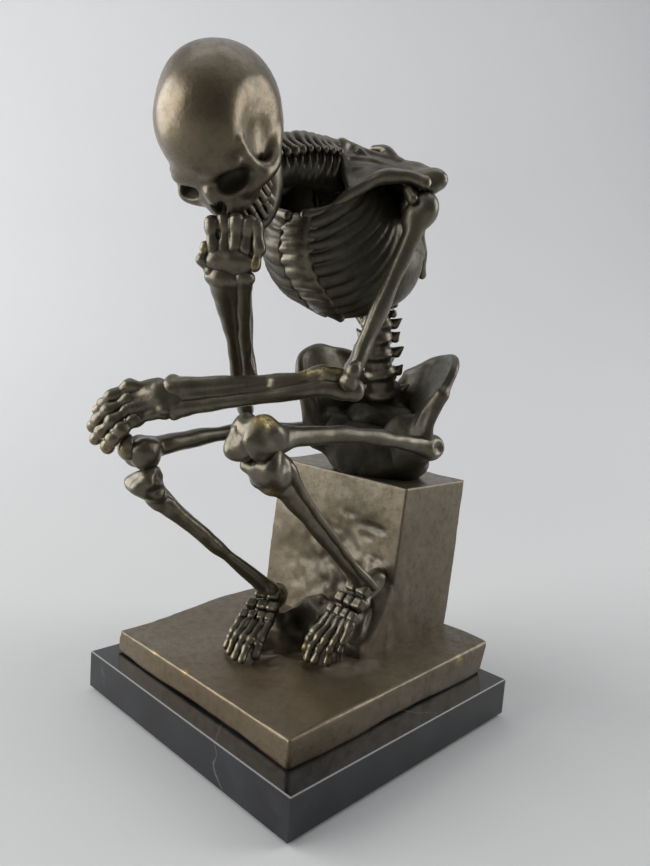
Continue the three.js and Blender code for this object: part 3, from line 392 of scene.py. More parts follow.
class Clay:
    """Forms that are added and carved in turn, waves over them, and spots of another tone.

    A list of forms is joined sharply within itself, and is then blended into the rest as one form.
    """

    def __init__(self, voxel=MEDIUM):
        self.voxel = voxel * QUICK_FACTOR
        self.steps = []
        self.waves = []
        self.spots = {"worn": [], "dust": [], "dark": [], "warm": []}

    def add(self, forms, blend=0.0, sign=1):
        self.steps.append((sign, forms if isinstance(forms, list) else [forms], blend))
        return self

    def carve(self, forms, blend=0.0):
        return self.add(forms, blend, -1)

    def knobs(self, axes, *rows):
        """Adds balls, each a row of centre, radii and blend."""
        for centre, radii, blend in rows:
            self.add(ball(centre, radii, axes), blend)
        return self

    def roughen(self, height, scale, seed, around=None, reach=0.0):
        """Random waves over the surface, everywhere or only around a point."""
        self.waves.append((height, scale, seed, around, reach))
        return self

    def wear(self, point, radius, amount=1.0, kind="worn"):
        """Marks a spot that is rubbed to gold, dull and grey, dark, or warm brown; the dark spots are painted
        shade on parts and hollows in shadow, with some old patina in the hollows.
        """
        self.spots[kind].append((point, radius, amount))
        return self

    def moved(self, rotation, origin):
        """Turns all forms about the origin of their own frame and carries that origin to a place."""
        def carried(form):
            distance, low, high = form
            corners = np.array([np.where(c, high, low) for c in product((False, True), repeat=3)])
            corners = corners @ rotation.T + origin

            def placed(*grid):
                gap = offset(grid, origin)
                return distance(*(extent(gap, axis) for axis in rotation.T))

            return placed, corners.min(0), corners.max(0)

        self.steps = [(sign, [carried(form) for form in forms], blend) for sign, forms, blend in self.steps]
        for kind, spots in self.spots.items():
            self.spots[kind] = [(rotation @ p + origin, r, a) for p, r, a in spots]
        return self

    def field(self):
        """The grid of distances to the surface, and its lowest corner."""
        added = [form for sign, forms, _ in self.steps if sign > 0 for form in forms]
        v = self.voxel
        low = np.min([form[1] for form in added], 0) - PAD_CELLS * v
        high = np.max([form[2] for form in added], 0) + PAD_CELLS * v
        shape = np.ceil((high - low) / v).astype(int) + 1
        axes = [(low[n] + v * np.arange(shape[n])).astype(np.float32) for n in range(3)]

        def window(a, b, reach):
            first = np.clip(np.floor((a - reach - low) / v).astype(int), 0, shape)
            last = np.clip(np.ceil((b + reach - low) / v).astype(int) + 1, first, shape)
            return tuple(slice(m, n) for m, n in zip(first, last))

        def spread(part):
            x, y, z = (axis[cut] for axis, cut in zip(axes, part))
            return x[:, None, None], y[None, :, None], z[None, None, :]

        grid = np.full(shape, FAR, np.float32)
        scratch = np.empty(shape, np.float32)
        for sign, forms, k in self.steps:
            reach = k + MARGIN
            whole = window(np.min([f[1] for f in forms], 0), np.max([f[2] for f in forms], 0), reach)
            scratch[whole] = FAR
            for distance, a, b in forms:
                part = window(a, b, reach)
                if all(cut.stop > cut.start for cut in part):
                    scratch[part] = np.minimum(scratch[part], distance(*spread(part)))
            d = scratch[whole] * sign
            old = grid[whole]
            if k > 0:
                h = np.clip(0.5 + sign * 0.5 * (old - d) / k, 0, 1)
                grid[whole] = old + (d - old) * h - sign * k * h * (1 - h)
            else:
                grid[whole] = np.minimum(old, d) if sign > 0 else np.maximum(old, d)
        for height, scale, seed, around, wide in self.waves:
            waves = height * smooth_noise(grid.shape, v, scale, seed)
            if around is not None:
                gap = offset(spread([slice(0, n) for n in shape]), around)
                waves *= np.exp(-sum(g**2 for g in gap) / wide**2)
            grid += waves
        return grid, low

    def mesh(self, name):
        grid, low = self.field()
        points, faces = skin(grid)
        cells = max(1, round(BEND_REACH / self.voxel))
        curve = (blurred(grid, cells) - grid) * 3 / (cells * self.voxel) ** 2
        where = np.clip(np.round(points).astype(int), 0, np.array(grid.shape) - 1)
        values = {"bend": np.clip(curve[tuple(where.T)], -1, 1)}
        points = points * self.voxel + low
        for kind, spots in self.spots.items():
            values[kind] = np.zeros(len(points))
            for spot, radius, amount in spots:
                gap = np.linalg.norm(points - spot, axis=1)
                values[kind] = np.maximum(values[kind], amount * np.exp(-((gap / radius) ** 2)))
        return mesh_of(name, points, faces, values)


def mesh_of(name, points, faces, values):
    """A smooth mesh in metres from points in millimetres, with numbers kept on its points."""
    mesh = bpy.data.meshes.new(name)
    mesh.vertices.add(len(points))
    mesh.vertices.foreach_set("co", (points * MM).astype(np.float32).ravel())
    mesh.loops.add(faces.size)
    mesh.loops.foreach_set("vertex_index", faces.astype(np.int32).ravel())
    mesh.polygons.add(len(faces))
    mesh.polygons.foreach_set("loop_start", np.arange(0, faces.size, faces.shape[1], dtype=np.int32))
    mesh.update(calc_edges=True)
    mesh.validate()
    mesh.polygons.foreach_set("use_smooth", np.ones(len(mesh.polygons), bool))
    for key, numbers in values.items():
        mesh.attributes.new(key, "FLOAT", "POINT").data.foreach_set("value", numbers.astype(np.float32))
    return mesh


def show(clay, *nodes, slot="bronze_bone"):
    """Draws the clay as the piece that stands for CAD nodes."""
    name = nodes[0] + "_cast"
    piece = bpy.data.objects.new(name, clay.mesh(name))
    SCENE.collection.objects.link(piece)
    piece.data.materials.append(MATERIALS[slot])
    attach(piece, "root")
    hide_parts(*nodes)


def show_pairs(*parts):
    for side in SIDES:
        for part in parts:
            show(part(side), f"{part.__name__}_{side}")


def place_object(name, data, axes, origin):
    """An object with its own axes at a place in millimetres."""
    made = bpy.data.objects.new(name, data)
    place = Matrix(np.stack(axes, 1).tolist()).to_4x4()
    place.translation = origin * MM
    made.matrix_world = place
    SCENE.collection.objects.link(made)
    return made


# Camera at the photograph's place
def make_camera():
    a, e, r = (math.radians(v) for v in (CAMERA_AZIMUTH, CAMERA_ELEVATION, CAMERA_ROLL))
    back = vec(math.sin(a) * math.cos(e), -math.cos(a) * math.cos(e), math.sin(e))
    level = vec(math.cos(a), math.sin(a), 0)
    rise = np.cross(back, level)
    right = math.cos(r) * level + math.sin(r) * rise
    up = -math.sin(r) * level + math.cos(r) * rise
    axes = (right, up, back)
    lens = bpy.data.cameras.new("camera")
    lens.sensor_fit = "VERTICAL"
    lens.sensor_height = SENSOR_HEIGHT
    lens.lens = SENSOR_HEIGHT * FOCAL_PIXELS / IMAGE_HEIGHT
    lens.clip_start = 0.01
    eye = np.stack(axes, 1) @ np.array(CAMERA_SHIFT) + vec(0, 0, FRAME_LIFT)
    SCENE.camera = place_object("camera", lens, axes, eye)


make_camera()


# Materials
class Paint:
    """The nodes of a material or a world, with short ways to make and join them."""

    def __init__(self, owner, shader="Principled BSDF", place="Object"):
        self.owner = owner
        owner.use_nodes = True
        self.tree = owner.node_tree
        self.shader = self.tree.nodes[shader]
        self.place = self.node("ShaderNodeTexCoord").outputs[place]

    def feed(self, socket, value):
        if isinstance(value, bpy.types.NodeSocket):
            self.tree.links.new(value, socket)
        else:
            socket.default_value = value

    def node(self, kind, inputs=(), **settings):
        made = self.tree.nodes.new(kind)
        for key, value in settings.items():
            setattr(made, key, value)
        for key, value in dict(inputs).items():
            self.feed(made.inputs[key], value)
        return made

    def noise(self, scale, detail=3.0, roughness=0.5, warp=0.0):
        made = self.node("ShaderNodeTexNoise", {
            "Vector": self.place, "Scale": scale, "Detail": detail, "Roughness": roughness,
            "Distortion": warp,
        })
        return made.outputs["Fac"]

    def value(self, name):
        return self.node("ShaderNodeAttribute", attribute_name=name).outputs["Fac"]

    def ramp(self, source, low, high, to_low=0.0, to_high=1.0, shape="SMOOTHSTEP"):
        made = self.node("ShaderNodeMapRange", {
            "Value": source, "From Min": low, "From Max": high, "To Min": to_low, "To Max": to_high,
        }, interpolation_type=shape)
        return made.outputs["Result"]

    def math(self, operation, a, b):
        return self.node("ShaderNodeMath", {0: a, 1: b}, operation=operation).outputs[0]

    def times(self, a, b):
        return self.math("MULTIPLY", a, b)

    def vector(self, operation, a, b, output=0):
        return self.node("ShaderNodeVectorMath", {0: a, 1: b}, operation=operation).outputs[output]

    def blend(self, factor, a, b):
        made = self.node("ShaderNodeMix", {0: factor, 6: a, 7: b}, data_type="RGBA")
        return made.outputs[2]

    def bump(self, height, strength, distance, **normal):
        inputs = {"Height": height, "Strength": strength, "Distance": distance, **normal}
        return self.node("ShaderNodeBump", inputs).outputs["Normal"]

    def finish(self, **links):
        for name, value in links.items():
            self.feed(self.shader.inputs[name.replace("_", " ")], value)
        return self.owner


def paint_for(name):
    return Paint(bpy.data.materials.new(name))


def colour(r, g, b):
    return (r, g, b, 1.0)


WARM_BROWN = colour(0.152, 0.101, 0.048)
PALE_BROWN = colour(0.2, 0.165, 0.1)
GOLD = colour(0.5, 0.37, 0.12)
GREY_DUST = colour(0.115, 0.105, 0.09)


def bronze(name, dark, mid, pale, gloss):
    """Patinated bronze: brown in patches, dark in hollows, paler on high points and gold where it is worn."""
    paint = paint_for(name)
    bent, worn, dust, shade, warm = (paint.value(key) for key in ("bend", "worn", "dust", "dark", "warm"))
    patches = paint.noise(55, 5, 0.6, 0.4)
    mottle = paint.noise(260, 4, 0.65)
    specks = paint.noise(900, 3, 0.6)
    dust = paint.times(dust, paint.ramp(paint.noise(420, 4, 0.7), 0.35, 0.65, 0.3))
    high = paint.times(paint.ramp(bent, 0.2, 0.6), paint.ramp(mottle, 0.35, 0.6))
    base = paint.blend(paint.ramp(patches, 0.35, 0.68), mid, pale)
    for amount, tone in (
        (paint.times(warm, 0.8), WARM_BROWN),
        (paint.ramp(mottle, 0.45, 0.75, 0, 0.35), dark),
        (paint.ramp(bent, -0.04, -0.4, 0, 0.8), dark),
        (paint.times(high, 0.22), PALE_BROWN),
        (paint.times(worn, paint.ramp(specks, 0.32, 0.58, 0.1)), GOLD),
        (dust, GREY_DUST),
        # Painted shade: the dark spots pull the colour towards the dark tone.
        (paint.times(shade, 0.85), dark),
    ):
        base = paint.blend(amount, base, tone)
    dull = paint.math("MAXIMUM", dust, shade)
    rough = paint.ramp(mottle, 0.25, 0.8, gloss - 0.05, gloss + 0.12)
    return paint.finish(
        Base_Color=base, Roughness=paint.math("ADD", rough, paint.times(dull, 0.22)), Metallic=0.8,
        Normal=paint.bump(mottle, 0.2, 0.0012, Normal=paint.bump(specks, 0.12, 0.0005)),
        Coat_Weight=paint.ramp(dull, 0, 1, 0.42, 0.04), Coat_Roughness=0.26,
    )


def marble(name):
    """Polished black stone with a few thin pale veins and a faint cloud of grey."""
    paint = paint_for(name)
    flow = paint.node("ShaderNodeTexNoise", {"Vector": paint.place, "Scale": 16.0, "Detail": 5.0})
    warp = paint.vector("MULTIPLY", flow.outputs["Color"], (0.05, 0.05, 0.05))
    warped = paint.vector("ADD", paint.place, warp)
    cells = paint.node("ShaderNodeTexVoronoi", {"Vector": warped, "Scale": 11.0}, feature="DISTANCE_TO_EDGE")
    vein = paint.ramp(cells.outputs["Distance"], 0.0, 0.006, 1, 0)
    vein = paint.times(vein, paint.ramp(paint.noise(34, 3), 0.52, 0.7))
    cloud = paint.ramp(paint.noise(30, 6, 0.6, 0.8), 0.35, 0.8)
    base = paint.blend(cloud, colour(0.006, 0.006, 0.007), colour(0.018, 0.019, 0.022))
    base = paint.blend(paint.times(vein, 0.4), base, colour(0.2, 0.215, 0.22))
    dust = paint.ramp(paint.noise(1500, 2), 0.66, 0.78)
    base = paint.blend(paint.times(dust, 0.25), base, colour(0.3, 0.3, 0.3))
    rough = paint.ramp(paint.noise(120, 4), 0.3, 0.75, 0.08, 0.2)
    return paint.finish(Base_Color=base, Roughness=rough)


def felt(name):
    paint = paint_for(name)
    nap = paint.noise(1800, 4, 0.7)
    base = paint.blend(nap, colour(0.01, 0.012, 0.01), colour(0.04, 0.046, 0.04))
    return paint.finish(Base_Color=base, Roughness=0.95, Normal=paint.bump(nap, 0.6, 0.0004))


def steel(name):
    paint = paint_for(name)
    streak = paint.noise(700, 3)
    base = paint.blend(streak, colour(0.42, 0.43, 0.43), colour(0.6, 0.61, 0.61))
    return paint.finish(Base_Color=base, Metallic=1.0, Roughness=paint.ramp(streak, 0.2, 0.8, 0.25, 0.45))


MATERIALS = {
    "bronze_bone": bronze(
        "bronze_bone", dark=colour(0.012, 0.0115, 0.009), mid=colour(0.093, 0.08, 0.052),
        pale=colour(0.123, 0.106, 0.069), gloss=0.34,
    ),
    "bronze_base": bronze(
        "bronze_base", dark=colour(0.022, 0.018, 0.012), mid=colour(0.116, 0.092, 0.056),
        pale=colour(0.142, 0.113, 0.068), gloss=0.46,
    ),
    "marble": marble("marble"),
    "felt": felt("felt"),
    "steel": steel("steel"),
}
for node, slot in (
    ("marble_base", "marble"), ("felt_sheet", "felt"), ("fixing_bolt", "steel"), ("fixing_washer", "steel"),
):
    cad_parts[node].data.materials.clear()
    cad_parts[node].data.materials.append(MATERIALS[slot])

# The pose, as in the CAD model
PELVIS = vec(0, SEAT_Y - 6, SEAT_TOP + HIP_HEIGHT)
HIP_AXIS = turn("Z", PELVIS_YAW) @ X
HIP_BACK = turn("Z", PELVIS_YAW) @ Y
HIP_AXES = (HIP_AXIS, HIP_BACK, Z)
WAIST = PELVIS + vec(-0.5, -5, 68.5)
NECK_BASE = WAIST + vec(6.5, -50.5, 77.5)
HEAD = NECK_BASE + vec(-9.5, -48.5, -9.3)
BREAST = NECK_BASE + vec(-1, -18.5, -37)
XIPHOID = WAIST + vec(6.5, -36, -3)
HEAD_TURN = turn("Z", 20) @ turn("X", 50) @ turn("Y", -10)
ankle = {"left": vec(29, 13, PLINTH_TOP + 37.5), "right": vec(-18, -8, PLINTH_TOP + 22.4)}
toe = {"left": vec(29, -19, PLINTH_TOP + TOE_RADIUS), "right": vec(3, -47, PLINTH_TOP + TOE_RADIUS)}
KNEE_POLE = {"left": vec(0, -0.9, 0.8), "right": vec(-0.12, -0.93, 0.1)}
hip = {s: PELVIS + HIP_AXIS * SIGN[s] * HIP_HALF for s in SIDES}
knee = {s: bend(hip[s], ankle[s], FEMUR_LENGTH, TIBIA_LENGTH, KNEE_POLE[s]) for s in SIDES}
shoulder = {"left": NECK_BASE + vec(46, 17.5, -28.6), "right": NECK_BASE + vec(-53, -9, -38.6)}
wrist = {"left": knee["right"] + vec(9, 10, 26), "right": HEAD + vec(9, -7.5, -58)}
ELBOW_POLE = {"left": vec(0.3, 0.2, -1), "right": vec(-0.22, 0.22, -1)}
ELBOW_SHIFT = {"left": vec(0, 0, 0), "right": vec(4, 4, 1.5)}
elbow = {
    s: bend(shoulder[s], wrist[s], HUMERUS_LENGTH, FOREARM_LENGTH, ELBOW_POLE[s]) + ELBOW_SHIFT[s]
    for s in SIDES
}
CHEST_OUT = unit((shoulder["left"] - shoulder["right"]) * vec(1, 1, 0))


# Base
def plinth():
    def at(x, y, up):
        return vec(x, y, PLINTH_TOP + up)

    low = vec(PLINTH_X - PLINTH_WIDTH / 2 - PLINTH_LEFT_REACH, PLINTH_Y - PLINTH_DEPTH / 2, PLINTH_BOTTOM)
    high = vec(PLINTH_X + PLINTH_WIDTH / 2, PLINTH_Y + PLINTH_DEPTH / 2, PLINTH_TOP)
    clay = Clay(COARSE).add(slab(low, high, PLINTH_EDGE, tilt=PLINTH_TILT))
    clay.carve(beyond(vec(0, high[1] - PLINTH_UNDERCUT, low[2]), unit(vec(0, 15, -4))), 0.6)
    # Clay heaped around the feet
    for heap, radii in (
        (at(10, SEAT_FRONT - 8, 0), (15, 13, 22)), (at(-10, SEAT_FRONT - 5, -1), (20, 11, 15)),
        (at(35, SEAT_FRONT - 24, -3), (11, 16, 5)),
    ):
        clay.add(ball(heap, radii), 4)
        clay.wear(heap + vec(0, -radii[1] / 2, radii[2] / 2), 13, 0.8, "dust")
    clay.add(shaft(at, (-17, 0, 5, 5.5), (-9, 11, 9, 7), (4, 18, 10, 9)), 4)
    clay.carve(ball(at(1, -11, 6), (8, 14, 6.5)), 4)
    clay.roughen(2.2, 32, 3).roughen(0.25, 6, 4)
    for waves in (
        (2, 8, 5, at(8, -25, 0), 24), (6, 7, 15, at(-8, 12, 8), 28), (3, 3.6, 17, at(-4, 8, 8), 26),
        (5, 8, 5, at(16, 2, 9), 26), (2, 3.4, 6, at(16, 2, 9), 24),
    ):
        clay.roughen(*waves)
    for x, y in ((-36, -69.5), (-9, -69.5), (66.5, 52)):
        clay.wear(at(x, y, -1), 2.2, 0.8)
    # The dark spot is painted shadow on the clay between and behind the feet.
    return clay.wear(at(-7, 2, 5), 23, 1, "dark").wear(at(0, -50, 0), 75, 0.7, "warm")


def seat_block():
    def at(x, ahead, z):
        return vec(x, SEAT_FRONT - ahead, z)

    low = vec(SEAT_X - SEAT_WIDTH / 2, SEAT_FRONT, SEAT_BOTTOM - SEAT_SINK)
    high = vec(SEAT_X + SEAT_WIDTH / 2, SEAT_Y + SEAT_DEPTH / 2, SEAT_TOP)
    clay = Clay(COARSE).add(slab(low, high, SEAT_EDGE, shear=SEAT_LEAN))
    # The front runs down into the plinth in a cove
    clay.add(slab(at(10, 20, low[2]), at(high[0], -3, SEAT_BOTTOM + 36), SEAT_EDGE), 0.5)
    cove = (at(-20, COVE_RADIUS, COVE_CENTRE), at(60, COVE_RADIUS - 1.5, COVE_CENTRE))
    clay.carve(rod(*cove, COVE_RADIUS), 1.5)
    for x, z, r in ((-30, 70, 26), (4, 92, 30), (-45, 105, 16)):
        clay.carve(ball(at(x, 11, z), (r, 15, r * 0.8)), 8)
    # Marks of the modelling tool, and folds in the cove
    for x, y, z, wide in (
        (0, 29.8, 102.4, 4), (17, 29.9, 98.6, 9), (12, 29, 92.6, 5), (-10, 28.8, 91.6, 7), (20, 28, 82.4, 7),
        (-30, 27, 70, 9),
    ):
        clay.carve(ball(vec(x, y, z), (wide, 1.3, 1.6)), 2)
    for x, r in ((19, 2.6), (25.5, 2.2), (32, 2.8)):
        fold = ((x, -6, 80, r * 0.6), (x + 1, -0.5, 66, r), (x + 2.5, 8, 50, r), (x + 3, 16, 40, r))
        clay.add(shaft(at, *fold), 3)
    clay.add(ball(at(27, 1, 67), (8, 7, 9)), 5)
    clay.roughen(0.9, 22, 7).roughen(0.2, 5, 8)
    for waves in (
        (1.5, 11, 9, at(SEAT_X, 6, 74), 34), (1.6, 3.6, 16, at(SEAT_X + 6, 4, 66), 34),
        (3.4, 5, 10, at(SEAT_X + 24, 6, 60), 22),
    ):
        clay.roughen(*waves)
    # The dark spots are painted shade over the front, behind the legs, and under the thighs near the top.
    clay.wear(at(SEAT_X + 24, 8, 52), 22, 0.8, "dust").wear(at(SEAT_X, 0, 70), 50, 0.45, "dark")
    return clay.wear(at(12, -4, 100), 14, 0.5, "dark")


show(plinth(), "plinth", slot="bronze_base")
show(seat_block(), "seat_block", slot="bronze_base")


# Legs
def femur(side):
    top, end = hip[side], knee[side]
    down = heading(top, end)
    out = square(HIP_AXIS * SIGN[side], down)
    rise = square(Z, down)
    axes = (out, down, rise)
    bulb = top + out * 13 + down * 4
    knob = KNEE_SIZE[side]

    def on(t, lift):
        return mix(bulb, end, t) + rise * lift

    clay = Clay().add(ball(top, 8)).add(rod(top, bulb, 4.8, 5.6), 3)
    clay.add(ball(bulb, (7, 8, 7.4), axes), 3)
    clay.add(shaft(
        on, (0.03, 0, 5.4), (0.16, 1.6, 4.2), (0.4, 3.8, 4), (0.62, 3.6, 4.2), (0.8, 2.2, 4.8),
        (0.9, 1, 6 * math.sqrt(knob)), (0.97, 0.4, 7 * knob),
    ), 3.5)
    for k in (1, -1):
        if side == "left":
            clay.add(ball(end + out * (k * 5 - 1) + rise * 0.6, (5.6, 8.2, 9.8), axes), 3)
            clay.add(ball(end + out * (k * 6.4 - 0.6) - down * 5 + rise, (3.6, 5, 5), axes), 4)
        else:
            clay.add(ball(end + out * k * 4.6 - down * 2, (4.6, 6.6, 7), axes), 5)
            clay.add(ball(end + out * k * 3.6 - down * 2 - rise * 4, (4, 5, 5.4), axes), 4)
    if side == "left":
        clay.carve(rod(end + down * 13 - rise * 8, end + down * 11 + rise * 10, 2), 2)
        clay.wear(end + out * 6 + rise * 10 + down * 3, 4.4)
        clay.wear(end + out * 4 + rise * 9 + down * 7, 2.4, 0.5)
    clay.carve(ball(bulb + out * 9.4 + down, (4.5, 4.4, 3.8), axes), 2.5)
    # The dark spot is painted shade along the middle of the thigh.
    clay.roughen(*BONE_WAVES, 11 + SIGN[side]).wear(on(0.5, 0), 34, 0.35, "dark")
    return clay.roughen(4 * knob**3, 7, 13, end, 13).roughen(2.2 * knob**3, 3.4, 14, end, 13)


def shin_frame(side):
    down = heading(knee[side], ankle[side])
    front = square(heading(hip[side], knee[side]), down)
    return down, front, np.cross(front, down) * SIGN[side]


def shin_bow(side, t):
    """How far the shin curves ahead of the straight line from knee to ankle."""
    return SHIN_BOW[side] * (1 - t) * min(1, 0.6 + 2 * t)


def tibia(side):
    down, front, out = shin_frame(side)
    axes = (out, front, down)
    knob = KNEE_SIZE[side]

    def on(t, ahead=0.0):
        return mix(knee[side], ankle[side], t) + front * (ahead + shin_bow(side, t))

    def sized(*radii):
        return np.array(radii) * knob

    clay = Clay().add(block(on(0.11, 1), sized(8.6, 7, 4.4), 3 * knob, axes))
    for k in (1, -1):
        clay.add(ball(on(0.105, 1) + out * k * 4.4 * knob, sized(6, 7.6, 4.6), axes), 4.5)
    clay.add(ball(on(0.15, 0.5), sized(9.6, 8, 8.5), axes), 4)
    clay.add(ball(on(0.2, 4.8 * knob), sized(4, 3.6, 6.4), axes), 4)
    clay.add(shaft(
        on, (0.14, 0, 7 * knob), (0.26, 0.4, 4.9 * knob), (0.45, 0.3, 3.7), (0.75, 0, 3.2), (0.92, 0, 4.2),
        (0.985, 0, 5.2),
    ), 4)
    clay.add(shaft(on, (0.2, 4.4, 2.2), (0.45, 2.9, 1.4), (0.7, 2, 1.3), (0.86, 1.8, 1.5)), 2.5)
    clay.add(ball(on(0.99) - out * 4.4, (2.7, 3.8, 5), axes), 2.5)
    if side == "left":
        clay.wear(on(0.2, 8) + out * 2, 2.2, 0.8).wear(on(0.28, 6.5), 2, 0.6)
    clay.roughen(*BONE_WAVES, 21 + SIGN[side])
    return clay.roughen(3.4, 6.5, 23, on(0.12), 13).roughen(2.2, 3.4, 24, on(0.13), 14)


def fibula(side):
    down, front, out = shin_frame(side)

    def on(t, away, behind):
        return mix(knee[side], ankle[side], t) + out * away - front * (behind - shin_bow(side, t))

    clay = Clay().add(ball(on(0.18, 6, 4), (3, 3.2, 4.4), (out, front, down)))
    clay.add(shaft(
        on, (0.19, 6, 4, 2.4), (0.36, 3.8, 2.6, 2), (0.6, 3.2, 1.8, 2), (0.86, 4, 1, 2), (1.01, 6, 0.4, 3),
    ), 2)
    return clay.roughen(0.7, 6, 31 + SIGN[side])


def patella(side):
    down, _, out = shin_frame(side)
    ahead = unit(heading(hip[side], knee[side]) + down * 0.15)
    across = square(out, ahead)
    low = np.cross(across, ahead)
    axes = (across, ahead, low)
    if side == "left":
        centre = knee[side] + ahead * 4.6 - across * 4 + low * 1.2
        rows = ((centre, (7, 5.4, 8.4), 0), (centre + low * 3.6 - across * 1.6, (4.4, 4, 5), 3))
        clay = Clay().knobs(axes, *rows).roughen(3, 6, 42)
    else:
        centre = knee[side] + ahead * 5.6 + low * 3
        rows = ((centre, (5, 4, 5.4), 0), (centre - low * 3, (4.4, 3.4, 4.4), 3))
        clay = Clay().knobs(axes, *rows).roughen(1, 6, 40).wear(centre + ahead * 4, 3.4, 0.9)
    return clay.roughen(0.9, 2.8, 43)


def foot(side):
    flat = unit((toe[side] - ankle[side]) * vec(1, 1, 0))
    out = -np.cross(flat, Z) * SIGN[side]
    slope = heading(ankle[side], toe[side])
    rise = square(Z, slope)
    axes = (out, slope, rise)
    instep = sum(TOE_OUT[side]) / len(TOE_OUT[side])

    def along(t, across=0.0, lift=0.0):
        return mix(ankle[side], toe[side], t) + out * (instep * t + across) + rise * lift

    clay = Clay(FINE).knobs(
        axes, (along(0, 0, -5), (6.4, 7.4, 5.8), 0), (along(-0.12, 0, -8), (5.8, 8, 6.8), 3),
        (along(0.2, 0, -3), (8.5, 7, 4.6), 2.5),
    )
    # Three rows of small bones
    for t, count, pitch, lift, half, rounding in (
        (0.08, 2, 7, 0.6, (3.4, 3, 3), 1.6), (0.24, 3, 6, 0.2, (2.9, 2.9, 3), 1.5),
        (0.39, 4, 4.8, -0.4, (2.3, 2.7, 3), 1.4),
    ):
        spots = [along(t, (i - (count - 1) / 2) * pitch, lift) for i in range(count)]
        clay.add([block(spot, half, rounding, axes) for spot in spots], 0.3)
    for i, (ahead, across) in enumerate(zip(TOE_FORWARD, TOE_OUT[side])):
        root = along(0.47, (i - 2) * 3.9, -0.8)
        tip = toe[side] + out * across + flat * ahead
        thick = TOE_RADIUS + (0.5 if i == 0 else 0) - 0.2
        joint = mix(root, tip, 0.52) + rise * 1.6
        middle = mix(joint, tip, 0.5) + rise * 1.2
        bones = ((root, 2.2), (joint, thick), (middle, 0.9 * thick), (tip, 0.9 * thick))
        for (a, ra), (b, rb) in pairwise(bones):
            clay.add(limb([(a, ra), (mix(a, b, 0.5), 0.78 * thick), (b, rb)], steps=4), 0.4)
        clay.wear(tip + rise * thick, 2.2, 1.0 if i == 0 and side == "left" else 0.15)
        clay.wear(joint + rise * thick, 1.8, 0.15)
    return clay.roughen(0.55, 3, 51 + SIGN[side])


show_pairs(femur, tibia, fibula, patella, foot)


# Pelvis
def pelvis_point(side, out, back, up):
    return PELVIS + HIP_AXIS * SIGN[side] * out + HIP_BACK * back + Z * up


def hip_bone(side):
    def at(out, back, up):
        return pelvis_point(side, out, back, up)

    out = HIP_AXIS * SIGN[side]
    crest = [at(41, -16, 30), at(44, -4, 45), at(32, 18, 47), at(8, 32, 37)]
    root = [at(33, -11, 2), at(28, 2, 0), at(20, 16, 4), at(8, 26, 8)]

    def wing(u, v):
        return mix(along_curve(root, u), along_curve(crest, u), v) - out * 6 * math.sin(math.pi * v)

    clay = Clay().add(sheet(wing, 40, 52, lambda u, v: 1.8 + 3 * (1 - v) ** 2))
    clay.add(limb([(p, 2.5) for p in crest], steps=8), 2)
    clay.add(limb([(crest[0], 2.4), *stations(at, (36, -15, 16, 3), (33.5, -13, 6, 4), (31, -9, -3, 5))]), 3)
    clay.add(ball(at(HIP_HALF - 3, 1, 0), (11, 12, 12), HIP_AXES), 6)
    # The bowl's front and floor, which the bronze closes
    full = 1 if side == "left" else 0.7
    front = ball(at(20, -6, 0), np.array((14, 10, 17)) * full, HIP_AXES)
    clay.add([ball(at(4, -8, -6), (20, 9, 15), HIP_AXES), front], 7)
    clay.add(ball(at(12, 6, -12), (20 * full, 18, 12), HIP_AXES), 6)
    # The dark spots are painted shade inside the pelvis's bowl and on the inner face of the wing.
    clay.wear(at(8, -12, -4), 42, 1, "dark").wear(at(28, 6, 24), 34, 0.8, "dark")
    clay.carve(beyond(vec(0, 0, SEAT_TOP - 1), -Z), 0.5)
    clay.roughen(1.2, 9, 61 + SIGN[side])
    return clay.roughen(0.9, 7, 63, at(10, -14, -8), 20).roughen(0.4, 3, 64, at(10, -14, -8), 18)


def sacrum():
    def at(back, up):
        return pelvis_point("left", 0, back, up)

    plate = ((15, 27, (12, 8)), (21, 15, (14, 8)), (26, 0, (10, 6)), (22, -12, (5, 4)))
    clay = Clay().add(shaft(at, *plate, up=HIP_BACK), 1)
    clay.add(ball(at(6, 10), (24, 12, 9), HIP_AXES), 5)
    for i in range(4):
        spot = at(27 + 4 * math.sin(1 + i), 22 - 8 * i)
        clay.add(ball(spot, (2.2, 3, 3.4), HIP_AXES), 2)
        clay.carve([ball(spot + HIP_AXIS * k * (6 - i) - Z * 3, 1.8) for k in (1, -1)], 1)
    # The dark spot is painted shade inside the pelvis.
    return clay.roughen(2.8, 7, 65).roughen(0.8, 3.4, 66).wear(at(2, 12), 42, 1, "dark")


show_pairs(hip_bone)
show(sacrum(), "sacrum")

# Spine
LUMBAR_BASE = pelvis_point("left", 0, 14, 27)
BACK_BULGE = mix(WAIST, NECK_BASE, 0.45) + vec(-1, 19, 8)
SKULL_SEAT = HEAD + vec(-2, 9, -4)
NECK_ROOT = NECK_BASE + vec(0, 2, -4)
NECK_MIDDLE = mix(NECK_ROOT, SKULL_SEAT, 0.5)
SPINE_POINTS = [WAIST, mix(WAIST, BACK_BULGE, 0.5) + vec(0, 3, 0), BACK_BULGE, NECK_ROOT]
LUMBAR_POINTS = [LUMBAR_BASE - Z * 7, mix(LUMBAR_BASE, WAIST, 0.5) + vec(0, -3, 0), WAIST]
NECK_POINTS = [NECK_ROOT - Z * 4, NECK_MIDDLE - Z, SKULL_SEAT - Z * 2.5]


